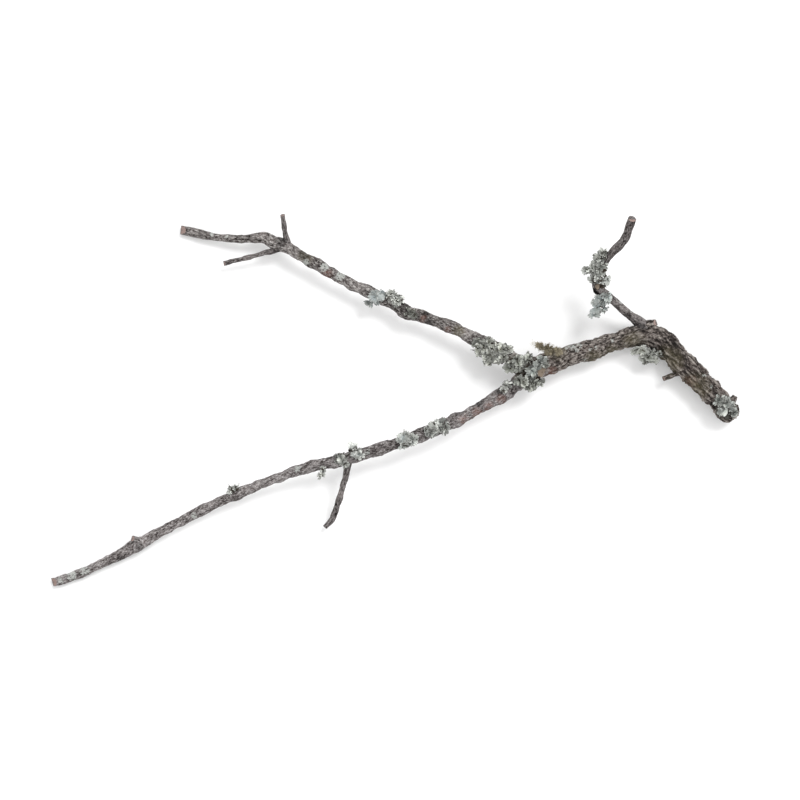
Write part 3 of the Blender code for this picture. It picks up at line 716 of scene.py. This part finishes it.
def weathered_bark(name, wood, plate, ridge, cell, crack_strength, crust_share, relief_share, dark):
    """Dead hardwood bark: grey plates with dark cracks between them, fine grain along the limb,
    olive algae and red young bark in places, and pale crusts. The dark of the cracks is partly painted
    shade. Painted shade also darkens crevices and shaded sides and blackens the holes, and a few pale
    spots are painted light. It gives the eye a dry, broken surface. The crusts' flecks are coarser
    than real ones, so that they show from afar."""
    material, tree, shader = new_material(name, 0.92)
    relief = add_node(tree, "Attribute", attribute_name="relief", result="Fac")
    straight = add_node(tree, "Attribute", attribute_name="straight", result="Vector")
    spots = {spot: add_node(tree, "Attribute", attribute_name=spot, result="Fac") for spot in SPOTS}
    patterns = []
    for along, across, detail, roughness in BARK_PATTERNS:
        place = add_node(tree, "Mapping", straight, None, None, cells(along, across))
        patterns.append(add_node(tree, "TexNoise", place, 1.0, detail, roughness))
    grain, blotch, speck, wobble, patchy = patterns

    # Ragged edges for the spots
    ragged = add_node(tree, "MapRange", patchy, 0.36, 0.64, 0.25, 1.6)
    for spot in ("crust_and_painted_light", "red", "bare"):
        spots[spot] = add_node(tree, "Math", spots[spot], ragged, **CLAMPED_TIMES)

    # Cracks between the plates
    place = add_node(tree, "Mapping", straight, None, None, cells(*cell))
    place = add_node(
        tree, "Mix", 0.9, place, wobble.node.outputs["Color"], data_type="RGBA", blend_type="ADD")
    edge = add_node(tree, "TexVoronoi", place, 1.0, feature="DISTANCE_TO_EDGE")
    edge = add_node(tree, "MapRange", edge, 0.0, 0.16, 0.0, 1.0)

    # Plates and ridges by their height, blotches and grain. The dark low end, in the cracks, is partly
    # painted shade
    slow = add_node(tree, "Math", blotch, 1.3, -0.65, **TIMES_PLUS)
    height = add_node(
        tree, "Math", grain, 2.9 - relief_share, -1.45 + relief_share / 2, **TIMES_PLUS)
    level = add_node(tree, "Math", relief, relief_share, 0.5 - relief_share / 2, **TIMES_PLUS)
    height = add_node(tree, "Math", level, height, **PLUS)
    slow = add_node(tree, "Math", slow, 1.1 - relief_share, **TIMES)
    height = add_node(tree, "Math", height, slow, **PLUS)
    base = add_node(tree, "ValToRGB", height)
    stops = base.node.color_ramp.elements
    stops[0].position, stops[0].color = dark, wood.crack
    stops[1].position, stops[1].color = 0.98, ridge
    stops.new(0.42).color = plate

    # Red young bark, green algae, and the dark of the cracks, which is partly painted shade
    redness = add_node(tree, "Math", blotch, 2.0, -1.1, **CLAMPED_TIMES_PLUS)
    redness = add_node(tree, "Math", redness, 0.3, **TIMES)
    red_spots = add_node(tree, "Math", spots["red"], 0.75, **TIMES)
    redness = add_node(tree, "Math", redness, red_spots, operation="MAXIMUM")
    reddened = add_node(tree, "Mix", 0.45, wood.red, base, **BLEND)
    colour = add_node(tree, "Mix", redness, base, reddened, **BLEND)
    greenness = add_node(tree, "Math", spots["olive"], 0.9, **TIMES)
    greenness = add_node(tree, "Math", greenness, blotch, **TIMES)
    colour = add_node(tree, "Mix", greenness, colour, wood.olive, **BLEND)
    darker = add_node(tree, "MapRange", edge, 0.0, 1.0, 1.0 - crack_strength, 1.0)
    colour = add_node(tree, "Mix", 1.0, colour, darker, **TINT)

    # Flecks of pale crust, and pale spots of painted light on the elbow twig's kink and lit edge
    coarse = add_node(tree, "Math", grain, 0.6, **TIMES)
    fine = add_node(tree, "Math", speck, 0.4, **TIMES)
    flecks = add_node(tree, "Math", coarse, fine, **PLUS)
    crusted = add_node(tree, "Math", spots["crust_and_painted_light"], 0.27, crust_share - 1.0, **TIMES_PLUS)
    crusted = add_node(tree, "Math", flecks, crusted, **PLUS)
    crusted = add_node(tree, "Math", crusted, 14.0, **CLAMPED_TIMES)
    crusted = add_node(tree, "Math", crusted, 0.75, **TIMES)
    colour = add_node(tree, "Mix", crusted, colour, wood.crust_and_painted_light, **BLEND)

    # The butt is darker than the rest, specks break up each plate, and painted shade darkens the
    # crevices and the shaded sides of the limbs
    distance = add_node(tree, "SeparateXYZ", straight)
    painted_shade = add_node(tree, "Math", spots["shade"], 1.6, **CLAMPED_TIMES)
    for source, low, high, to_low, to_high in (
            (distance, DARK_END * MM, PALE_END * MM, 0.88, 1.06), (speck, 0.3, 0.7, 0.66, 1.3),
            (painted_shade, 0.0, 1.0, 1.0, 0.5)):
        tint = add_node(tree, "MapRange", source, low, high, to_low, to_high)
        colour = add_node(tree, "Mix", 1.0, colour, tint, **TINT)

    # Bare wood in a dark ring, and the hollows painted black as their shade
    ring = add_node(tree, "Math", spots["bare"], 5.0, **CLAMPED_TIMES)
    ring = add_node(tree, "Math", ring, 0.8, **TIMES)
    colour = add_node(tree, "Mix", ring, colour, wood.crack, **BLEND)
    streaks = add_node(tree, "MapRange", grain, 0.3, 0.7, 0.75, 1.2)
    bared = add_node(tree, "Mix", 1.0, wood.bare, streaks, **TINT)
    bareness = add_node(tree, "Math", spots["bare"], 6.0, -2.4, **CLAMPED_TIMES_PLUS)
    colour = add_node(tree, "Mix", bareness, colour, bared, **BLEND)
    hollow = add_node(tree, "Math", spots["hollow"], 2.5, **CLAMPED_TIMES)
    colour = add_node(tree, "Mix", hollow, colour, linear(HOLE_SHADE_COLOUR), **BLEND)
    tree.links.new(colour, shader.inputs["Base Color"])
    bump = add_node(tree, "Bump", 0.5 * crack_strength, 0.6 * MM, None, edge)
    bump = add_node(tree, "Bump", 0.7, 0.9 * MM, None, flecks, bump)
    tree.links.new(bump, shader.inputs["Normal"])
    return material


def sawn_wood(name, bare):
    """The bare end of a cut twig: dry pinkish wood with faint rings round a darker pith."""
    material, tree, shader = new_material(name, 0.85)
    straight = add_node(tree, "Attribute", attribute_name="straight", result="Vector")
    flat = add_node(tree, "VectorMath", straight, (0.0, 1.0, 1.0), **TIMES)
    away = add_node(tree, "VectorMath", flat, operation="LENGTH")
    rings = add_node(tree, "Math", away, math.tau / (RING_WIDTH * MM), **TIMES)
    rings = add_node(tree, "Math", rings, operation="SINE")
    tone = add_node(tree, "MapRange", rings, -1.0, 1.0, 0.82, 1.05)
    pith = add_node(tree, "MapRange", away, 0.2 * MM, 1.2 * MM, 0.6, 1.0)
    tone = add_node(tree, "Math", tone, pith, **TIMES)
    colour = add_node(tree, "Mix", 1.0, bare, tone, **TINT)
    tree.links.new(colour, shader.inputs["Base Color"])
    return material


def lichen_skin(name, settings, yellow, blue, pale):
    """Leafy lichen, dry: a matt, chalky upper skin that is paler at the tips, over a dark
    underside. It gives the eye pale ruffles with dark gaps between them. Its grit is coarser than
    the powder on a real lobe, so that it shows."""
    material, tree, shader = new_material(name, 0.95)
    tip, under, tone = (
        add_node(tree, "Attribute", attribute_name=note, result="Fac")
        for note in ("tip", "under", "tone"))
    place = add_node(tree, "TexCoord", result="Object")
    patches = add_node(tree, "TexNoise", place, 1 / (LOBE_PATCH * MM), 2.0)
    grit = add_node(tree, "TexNoise", place, 1 / (LOBE_GRIT * MM), 2.0)
    body = add_node(tree, "Mix", yellow, settings.grey, settings.yellow, **BLEND)
    cool = add_node(tree, "Math", patches, 2.0 * blue, 0.0, **CLAMPED_TIMES_PLUS)
    body = add_node(tree, "Mix", cool, body, settings.blue, **BLEND)
    paleness = add_node(tree, "Math", tip, 0.95, 0.55 * pale - 0.15, **CLAMPED_TIMES_PLUS)
    colour = add_node(tree, "Mix", paleness, body, settings.mint, **BLEND)
    shade = add_node(tree, "MapRange", tone, 0.0, 1.0, 0.26 + 0.14 * pale, 1.4 + 0.14 * pale)
    speckle = add_node(tree, "MapRange", grit, 0.3, 0.7, 0.78, 1.15)
    for tint in (shade, speckle):
        colour = add_node(tree, "Mix", 1.0, colour, tint, **TINT)
    colour = add_node(tree, "Mix", under, colour, settings.under, **BLEND)
    tree.links.new(colour, shader.inputs["Base Color"])
    bump = add_node(tree, "Bump", 0.5, 0.3 * MM, None, grit)
    tree.links.new(bump, shader.inputs["Normal"])
    return material


def moss_skin(settings):
    """Dry moss: golden olive shoots that are paler at their tips, soft to the eye."""
    material, tree, shader = new_material("dry_moss", 0.9)
    tip = add_node(tree, "Attribute", attribute_name="tip", result="Fac")
    tone = add_node(tree, "Attribute", attribute_name="tone", result="Fac")
    colour = add_node(tree, "Mix", tip, settings.moss, settings.moss_tips, **BLEND)
    shade = add_node(tree, "MapRange", tone, 0.0, 1.0, 0.55, 1.15)
    colour = add_node(tree, "Mix", 1.0, colour, shade, **TINT)
    tree.links.new(colour, shader.inputs["Base Color"])
    return material


def model_lobe(name, tips, notch, row_widths, cup, ruffle):
    """A leafy lobe one unit long and wide that grows along X: a thin sheet, narrow at its foot,
    with scalloped sides, rounded tips with notches between them and a ruffled rim."""
    rows = len(row_widths) - 1
    columns = 4 * tips
    lobe = add(
        bpy.ops.mesh.primitive_grid_add, name, x_subdivisions=rows, y_subdivisions=columns,
        size=1.0, location=(0.5, 0.0, 0.0))
    settle(lobe)
    for row, row_width in enumerate(row_widths):
        select(lobe, "VERT", lambda point: abs(point.co.x - row / rows) < 0.02)
        bpy.ops.transform.resize(value=(1.0, row_width, 1.0), center_override=(row / rows, 0.0, 0.0))
        leave_edit_mode()

    # The rim bows back at its sides. Of each four of its points one is a notch and one a tip
    for column in range(columns + 1):
        place = (column / columns - 0.5) * row_widths[-1]
        bow = 0.18 * (2 * place / row_widths[-1]) ** 2
        back = (-notch, 0.0, 0.04, 0.0)[column % 4] - bow
        rise = ruffle * (0.2, 0.7, -0.4, 1.0, -0.9)[column % 5]
        move_points(
            lobe, lambda point: point.co.x > 0.95 and abs(point.co.y - place) < 0.01,
            (back, 0.0, rise))
    move_points(lobe, lambda point: abs(point.co.y) > 0.28, (0.0, 0.0, cup))
    upper = len(lobe.data.vertices)
    apply_modifier(lobe, "SOLIDIFY", thickness=LOBE_THICKNESS, offset=-1.0)
    points = lobe.data.vertices
    rims = [0.75 * point.co.x + 0.6 * max(0.0, abs(point.co.y) - 0.2) for point in points]
    add_values(lobe.data, "tip", [min(1.0, max(0.0, rim)) for rim in rims])
    add_values(lobe.data, "under", [0.0 if point.index < upper else 1.0 for point in points])
    smooth(lobe, 75.0)
    return lobe


def model_lobes():
    """The lobes that the lichens are planted with, by their look."""
    return {
        "round": [
            model_lobe("round_lobe", 2, 0.24, (0.35, 0.9, 0.95), 0.05, 0.05),
            model_lobe("round_lobe", 2, 0.34, (0.40, 0.7, 1.05), 0.10, 0.06),
            model_lobe("broad_lobe", 2, 0.18, (0.50, 1.0, 1.05), 0.04, 0.06),
        ],
        "slim": [
            model_lobe("forked_lobe", 2, 0.44, (0.25, 0.5, 1.0), 0.10, 0.10),
            model_lobe("antler_lobe", 2, 0.40, (0.30, 0.8, 0.4, 1.0), 0.06, 0.10),
            model_lobe("fan_lobe", 3, 0.34, (0.20, 0.55, 1.15), 0.08, 0.10),
        ],
        "curled": [
            model_lobe("curled_lobe", 2, 0.26, (0.40, 0.9, 1.0), 0.26, 0.16),
            model_lobe("frilled_lobe", 2, 0.30, (0.60, 1.0, 1.15), 0.16, 0.24),
        ],
        "sheet": [
            model_lobe("scalloped_sheet", 3, 0.16, (0.5, 1.0, 0.8, 1.0), 0.03, 0.05),
            model_lobe("notched_sheet", 3, 0.24, (0.4, 0.9, 0.7, 1.05), 0.05, 0.04),
        ],
    }


def model_shoot():
    """One shoot of moss, one unit long: a slim three-sided blade."""
    shoot = add(
        bpy.ops.mesh.primitive_cone_add, "moss_shoot", vertices=3, radius1=0.06, radius2=0.012,
        depth=1.0, end_fill_type="NGON", location=(0.5, 0.0, 0.0),
        rotation=(0.0, math.pi / 2, 0.0))
    settle(shoot)
    cut_edges(shoot, 0.5, 2)
    move_points(shoot, lambda point: point.co.x > 0.6, (0.0, 0.0, 0.12))
    add_values(shoot.data, "tip", [min(1.0, max(0.0, point.co.x)) for point in shoot.data.vertices])
    return shoot


def stand_between(foot, tip, normal, roll, width):
    """Where a lobe stands: its foot and its tip in their places, its upper side along the normal."""
    growth = tip - foot
    length = growth.length
    growth.normalize()
    top = (normal - growth * normal.dot(growth)).normalized()
    if top.z < 0.0:
        top.negate()
    top.rotate(Matrix.Rotation(roll, 3, growth))
    turned = Matrix((growth, top.cross(growth), top)).transposed().to_4x4()
    size = Matrix.Diagonal((length, width, (length + width) / 2, 1.0))
    return Matrix.Translation(foot) @ turned @ size


def plant(template, matrix, tone):
    """A copy of a template with its own mesh."""
    copy = bpy.data.objects.new(template.name, template.data.copy())
    bpy.context.scene.collection.objects.link(copy)
    copy.data.transform(matrix)
    add_values(copy.data, "tone", [tone] * len(copy.data.vertices))
    return copy


def copy_of_solid(node):
    """A copy of a node's solid with its facets joined: the bed that a growth stands in."""
    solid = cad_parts[node]
    body = bpy.data.objects.new(node + "_bed", solid.data.copy())
    bpy.context.scene.collection.objects.link(body)
    body.data.materials.clear()
    pick(body)
    bpy.ops.object.mode_set(mode="EDIT")
    bpy.ops.mesh.select_all(action="SELECT")
    bpy.ops.mesh.remove_doubles(threshold=0.01 * MM)
    leave_edit_mode()
    return body


def surface_of(body):
    """The body's skin, to be asked for its height."""
    return BVHTree.FromPolygons(
        [point.co for point in body.data.vertices], [face.vertices for face in body.data.polygons])


def land(skin, x, y):
    """The top of a skin over a place in plan, or the nearest point of it beside, and its normal."""
    hit, normal, face, away = skin.ray_cast(Vector((x, y, 1.0)), Vector((0.0, 0.0, -1.0)))
    if hit is None:
        highest, normal, face, away = skin.find_nearest(Vector((x, y, 0.03)))
        hit, normal, face, away = skin.find_nearest(Vector((x, y, highest.z)))
    return hit, normal


def make_bed(body, dark):
    """Shrinks and roughens the copied solid: crumbs and dark holdfasts under the lobes. Their dark is
    partly the holdfasts' own colour and partly painted shade in the gaps between the lobes.
    """
    apply_modifier(body, "SUBSURF", levels=2, render_levels=2)
    crumbs = bpy.data.textures.new("crumbs", "CLOUDS")
    crumbs.noise_scale = 1.0
    ruler = add_ruler(CRUMB)
    shrink = PALE_SHRINK + (DARK_SHRINK - PALE_SHRINK) * dark
    apply_modifier(
        body, "DISPLACE", texture=crumbs, texture_coords="OBJECT", texture_coords_object=ruler,
        mid_level=1.0, strength=shrink * MM)
    remove(ruler)
    quantity = len(body.data.vertices)
    for name, value in (("tip", 0.0), ("under", dark), ("tone", 0.5)):
        add_values(body.data, name, [value] * quantity)
    smooth(body, 80.0)


def grow_thallus(thallus, skin, lobes, density, dice):
    """One leafy thallus: rings of lobes that reach out from its middle over the bark."""
    x, y, reach, kind = thallus
    middle = land(skin, x * MM, y * MM)[0]
    upwards = Vector((0.0, 0.0, UPWARDS))
    knot_x, knot_y = KNOT_STUB[-1][:2]
    grown = []
    for count, start, end, lift, slim, look in HABITS[kind]:
        quantity = max(3, round(count * reach / USUAL_REACH * density))
        turn = dice.uniform(0.0, math.tau)
        for index in range(quantity):
            bearing = turn + (index + dice.uniform(-0.5, 0.5)) * math.tau / quantity
            lean = bearing + dice.gauss(0.0, 0.35)
            near = start + dice.uniform(-0.1, 0.2)
            far = max(near + 0.3, end * dice.uniform(0.65, 1.1))
            ends = []
            for share, angle in ((near, bearing), (far, lean)):
                away = share * reach * MM
                place, normal = land(
                    skin, x * MM + away * math.cos(angle), y * MM + away * math.sin(angle))
                missing = max(0.0, away - (place - middle).to_2d().length)
                outwards = Vector((math.cos(angle), math.sin(angle), 0.0))
                ends.append((place + outwards * missing * OVERHANG, normal))
            (foot, foot_normal), (tip, tip_normal) = ends
            foot = foot - foot_normal * FOOT_DEPTH * MM
            tip = tip + (tip_normal + upwards) * dice.gauss(lift, TIP_SPREAD) * MM
            length = (tip - foot).length
            off_knot = math.hypot(tip.x - knot_x * MM, tip.y - knot_y * MM)
            fits = LEAST_LENGTH * MM < length < GREATEST_LENGTH * reach * MM
            if off_knot < KNOT_CLEARANCE * MM or not fits:
                continue
            width = slim * length * dice.uniform(0.8, 1.25)
            up = foot_normal + tip_normal + upwards
            matrix = stand_between(foot, tip, up, dice.gauss(0.0, 0.4), width)
            tone = dice.random() if look != "sheet" else dice.uniform(0.3, 0.7)
            grown.append(plant(dice.choice(lobes[look]), matrix, tone))
    return grown


def grow_lichen(lichen, lobes, settings):
    """One growth: its thalli on a dark crumbly bed, joined in one piece."""
    node, yellow, blue, pale, dark, thalli = lichen
    dice = random.Random(node)
    body = copy_of_solid(node)
    skin = surface_of(body)
    grown = []
    for x, y, reach, kind in thalli:
        grown += grow_thallus((x, y, reach, kind), skin, lobes, settings.density, dice)
        for index in range(SATELLITES if kind in ("ruffle", "antler") else 0):
            beside = Matrix.Rotation(dice.uniform(0.0, math.tau), 2)
            beside = beside @ Vector((SATELLITE_DISTANCE * reach, 0.0))
            small = (x + beside.x, y + beside.y, SATELLITE_REACH * reach, "antler")
            grown += grow_thallus(small, skin, lobes, settings.density, dice)
    make_bed(body, dark)
    piece = join([body] + grown)
    piece.name = node + "_leafy"
    piece.data.name = piece.name
    skin_material = lichen_skin(node + "_skin", settings, yellow, blue, pale)
    finish_piece(piece, node, [skin_material])
    return piece


def sink_hollows(twig):
    """The broken kink's holes, sunk into the twig. The bark's material paints them black as their
    shade.
    """
    hollow = twig.data.attributes["hollow"]
    group = twig.vertex_groups.new(name="hollow")
    for point, item in zip(twig.data.vertices, hollow.data):
        if item.value > 0.0 and point.normal.z > -0.2:
            group.add([point.index], item.value, "REPLACE")
    apply_modifier(
        twig, "DISPLACE", strength=-HOLLOW_DEPTH * MM, mid_level=0.0, vertex_group="hollow")
    twig.vertex_groups.clear()


def make_stub(name, route, wood, bark, wood_end):
    """A short broken stub with a slanting end."""
    stub = make_limb(name, route, wood.twig_cell, STUB_FORM, TWIG_RELIEF, bark, wood_end)
    saw_end(stub, route, math.radians(25), 0.5)
    return stub


def finish_wood(limb, node, *more):
    """Joins the stubs and the roots of other limbs to a limb, and finishes it."""
    if more:
        join([limb, *more])
    smooth(limb)
    finish_piece(limb, node)


def roots_of(*limbs):
    """The roots that were parted from these limbs."""
    return [bpy.data.objects[limb + "_bark_root"] for limb in limbs]


class LICHENTWIG_OT_twigs(bpy.types.Operator):
    """Models the twigs and leaves their roots for the limbs that carry them"""
    bl_idname = "lichentwig.twigs"
    bl_label = "Twigs"

    def execute(self, context):
        wood = context.scene.lichentwig_wood
        bark = weathered_bark(
            "smooth_twig_bark", wood, linear("#655f5e"), linear("#9c9795"), cell=(3.2, 1.4),
            crack_strength=0.5, crust_share=0.32, relief_share=0.35, dark=0.1)
        wood_end = sawn_wood("sawn_end_grain", wood.cut)

        # Each twig's route, and the slant of its cut in degrees and its way back from the end in mm
        twigs = [
            ("elbow_twig", ELBOW_TWIG, 20, 0.2), ("upper_top_twig", TOP_TWIG, 20, 0.3),
            ("upper_side_twig", SIDE_TWIG, 40, 0.4), ("lower_twig", LOW_TWIG, 40, -0.6),
        ]
        for name, route, tilt, back in twigs:
            twig = make_limb(
                name + "_bark", route, wood.twig_cell, TWIG_FORM, TWIG_RELIEF, bark, wood_end)
            part_limb(twig, route, PARTINGS[name])
            if name == "elbow_twig":
                sink_hollows(twig)
            saw_end(twig, route, math.radians(tilt), back)
            finish_wood(twig, name)
        return {"FINISHED"}


class LICHENTWIG_OT_arms(bpy.types.Operator):
    """Models the two long arms with the roots of the twigs that they carry"""
    bl_idname = "lichentwig.arms"
    bl_label = "Arms"

    def execute(self, context):
        wood = context.scene.lichentwig_wood
        rough = weathered_bark(
            "rough_arm_bark", wood, linear("#645e5c"), linear("#b4b0ad"), cell=(3.2, 1.8),
            crack_strength=0.4, crust_share=0.42, relief_share=0.4, dark=0.14)
        even = weathered_bark(
            "even_arm_bark", wood, linear("#6a6463"), linear("#aeaaa9"), cell=(2.8, 1.6),
            crack_strength=0.35, crust_share=0.40, relief_share=0.35, dark=0.08)
        wood_end = bpy.data.materials["sawn_end_grain"]
        arms = [
            ("upper_branch", UPPER_ARM, rough, ["upper_top_twig", "upper_side_twig"], None),
            ("lower_branch", LOWER_ARM, even, ["lower_twig"], SWELLING_STUB),
        ]
        for name, route, bark, twigs, stub in arms:
            arm = make_limb(
                name + "_bark", route, wood.arm_cell, ARM_FORM, ARM_RELIEF, bark, wood_end)
            part_limb(arm, route, PARTINGS[name])
            saw_end(arm, route, math.radians(48), 1.4)
            more = roots_of(*twigs)
            if stub:
                more.append(make_stub(name + "_stub", stub, wood, bark, wood_end))
            finish_wood(arm, name, *more)
        return {"FINISHED"}


class LICHENTWIG_OT_stem(bpy.types.Operator):
    """Models the thick stem with its stubs and the roots of all that grows from it"""
    bl_idname = "lichentwig.stem"
    bl_label = "Stem"

    def execute(self, context):
        wood = context.scene.lichentwig_wood
        bark = weathered_bark(
            "plated_stem_bark", wood, tuple(wood.plate), tuple(wood.ridge), cell=(4.5, 2.0),
            crack_strength=0.4, crust_share=0.36, relief_share=0.8, dark=0.16)
        wood_end = bpy.data.materials["sawn_end_grain"]
        knot_wood = sawn_wood("old_knot_wood", wood.bare)
        stem = make_limb(
            "main_stem_bark", STEM, wood.stem_cell, STEM_FORM, STEM_RELIEF, bark, wood_end)
        more = [
            make_stub("peg_stub", PEG_STUB, wood, bark, wood_end),
            make_stub("elbow_stub", ELBOW_STUB, wood, bark, wood_end),
            make_stub("knot_stub", KNOT_STUB, wood, bark, knot_wood),
            make_limb("butt_spur", BUTT_SPUR, wood.twig_cell, STUB_FORM, TWIG_RELIEF, bark),
        ]
        more += roots_of("upper_branch", "lower_branch", "elbow_twig")
        finish_wood(stem, "main_stem", *more)
        return {"FINISHED"}


class LICHENTWIG_OT_lichens(bpy.types.Operator):
    """Grows the leafy lichens, each over the solid that stands for it"""
    bl_idname = "lichentwig.lichens"
    bl_label = "Lichens"

    def execute(self, context):
        settings = context.scene.lichentwig_lichen
        lobes = model_lobes()
        for lichen in LICHENS:
            grow_lichen(lichen, lobes, settings)
        remove(*(lobe for look in lobes.values() for lobe in look))
        return {"FINISHED"}


class LICHENTWIG_OT_moss(bpy.types.Operator):
    """Grows the tuft of moss beside the fork"""
    bl_idname = "lichentwig.moss"
    bl_label = "Moss"

    def execute(self, context):
        settings = context.scene.lichentwig_lichen
        dice = random.Random("moss")
        body = copy_of_solid("moss_tuft")
        skin = surface_of(body)
        make_bed(body, 1.0)
        shoot = model_shoot()
        grown = [body]
        for index in range(settings.moss_shoots):
            x, y, reach = dice.choice(MOSS)
            bearing, share = dice.uniform(0.0, math.tau), math.sqrt(dice.random())
            place, normal = land(
                skin, (x + share * reach * math.cos(bearing)) * MM,
                (y + share * reach * math.sin(bearing)) * MM)
            lean = Vector((dice.gauss(0.0, 1.3), dice.gauss(0.0, 1.3), dice.gauss(0.0, 0.4)))
            foot = place - normal * SHOOT_DEPTH * MM
            tip = place + (normal + lean).normalized() * dice.uniform(*SHOOT_HEIGHTS) * MM
            width = dice.uniform(*SHOOT_WIDTHS) * MM
            matrix = stand_between(foot, tip, lean.cross(normal), 0.0, width)
            grown.append(plant(shoot, matrix, dice.random()))
        for index in range(WISPS):
            foot = Vector(WISP_START) * MM
            foot += Vector([dice.gauss(0.0, 1.1) * MM for axis in range(3)])
            for step in range(WISP_STEPS):
                way = Vector(WISP_WAY) + Vector([dice.gauss(0.0, 0.55) for axis in range(3)])
                tip = foot + way.normalized() * WISP_LENGTH * MM
                matrix = stand_between(foot, tip, way.orthogonal(), 0.0, WISP_WIDTH * MM)
                grown.append(plant(shoot, matrix, 0.9))
                foot = tip
        remove(shoot)
        piece = join(grown)
        piece.name = "moss_tuft_shoots"
        finish_piece(piece, "moss_tuft", [moss_skin(settings)])
        return {"FINISHED"}


class LICHENTWIG_OT_stage(bpy.types.Operator):
    """Sets the floor, the light and the camera that looks straight down"""
    bl_idname = "lichentwig.stage"
    bl_label = "Stage"

    def execute(self, context):
        settings = context.scene.lichentwig_stage
        floor = add(
            bpy.ops.mesh.primitive_plane_add, "floor", size=8.0, location=(0.0, 0.0, FLOOR_LEVEL * MM))
        material, tree, shader = new_material("matt_white_board", 0.95)
        shader.inputs["Base Color"].default_value = settings.floor
        floor.data.materials.append(material)
        sun = add(bpy.ops.object.light_add, "sun", type="SUN", location=(0.5, 0.6, 1.0))
        sun.data.energy = settings.sun
        sun.data.angle = math.radians(SUN_SPREAD)
        sun.rotation_euler = Vector(SUN_WAY).to_track_quat("-Z", "Y").to_euler()
        world = bpy.data.worlds.new("soft_studio")
        context.scene.world = world
        world.use_nodes = True
        background = world.node_tree.nodes["Background"]
        background.inputs[0].default_value = (1.0, 1.0, 1.0, 1.0)
        background.inputs[1].default_value = settings.sky
        context.scene.view_settings.view_transform = "Standard"
        height = settings.camera_height
        camera = add(
            bpy.ops.object.camera_add, "camera", location=(*CAMERA_PLACE, height),
            rotation=(0.0, 0.0, 0.0))
        camera.data.sensor_width = SENSOR_WIDTH
        camera.data.lens = SENSOR_WIDTH * (height - BRANCH_HEIGHT) / PHOTO_WIDTH
        camera.data.clip_end = 20.0
        context.scene.camera = camera
        return {"FINISHED"}


class LICHENTWIG_PT_panel(bpy.types.Panel):
    """Lists the steps of the model in the sidebar"""
    bl_label = "Lichen on a twig"
    bl_idname = "LICHENTWIG_PT_panel"
    bl_space_type = "VIEW_3D"
    bl_region_type = "UI"
    bl_category = "Lichen twig"

    def draw(self, context):
        for step in STEPS:
            self.layout.operator(step.bl_idname)
        for settings in GROUPS:
            group = getattr(context.scene, settings)
            for key in group.__annotations__:
                self.layout.prop(group, key)


STEPS = (
    LICHENTWIG_OT_twigs, LICHENTWIG_OT_arms, LICHENTWIG_OT_stem, LICHENTWIG_OT_lichens,
    LICHENTWIG_OT_moss, LICHENTWIG_OT_stage,
)
GROUPS = {
    "lichentwig_wood": WoodSettings, "lichentwig_lichen": LichenSettings,
    "lichentwig_stage": StageSettings,
}


def register():
    for kind in (*GROUPS.values(), *STEPS, LICHENTWIG_PT_panel):
        bpy.utils.register_class(kind)
    for name, kind in GROUPS.items():
        setattr(bpy.types.Scene, name, PointerProperty(type=kind))


def unregister():
    for name in GROUPS:
        delattr(bpy.types.Scene, name)
    for kind in reversed((*GROUPS.values(), *STEPS, LICHENTWIG_PT_panel)):
        bpy.utils.unregister_class(kind)


def main():
    register()
    bpy.ops.lichentwig.twigs()
    bpy.ops.lichentwig.arms()
    bpy.ops.lichentwig.stem()
    bpy.ops.lichentwig.lichens()
    bpy.ops.lichentwig.moss()
    bpy.ops.lichentwig.stage()


if __name__ == "__main__":
    main()
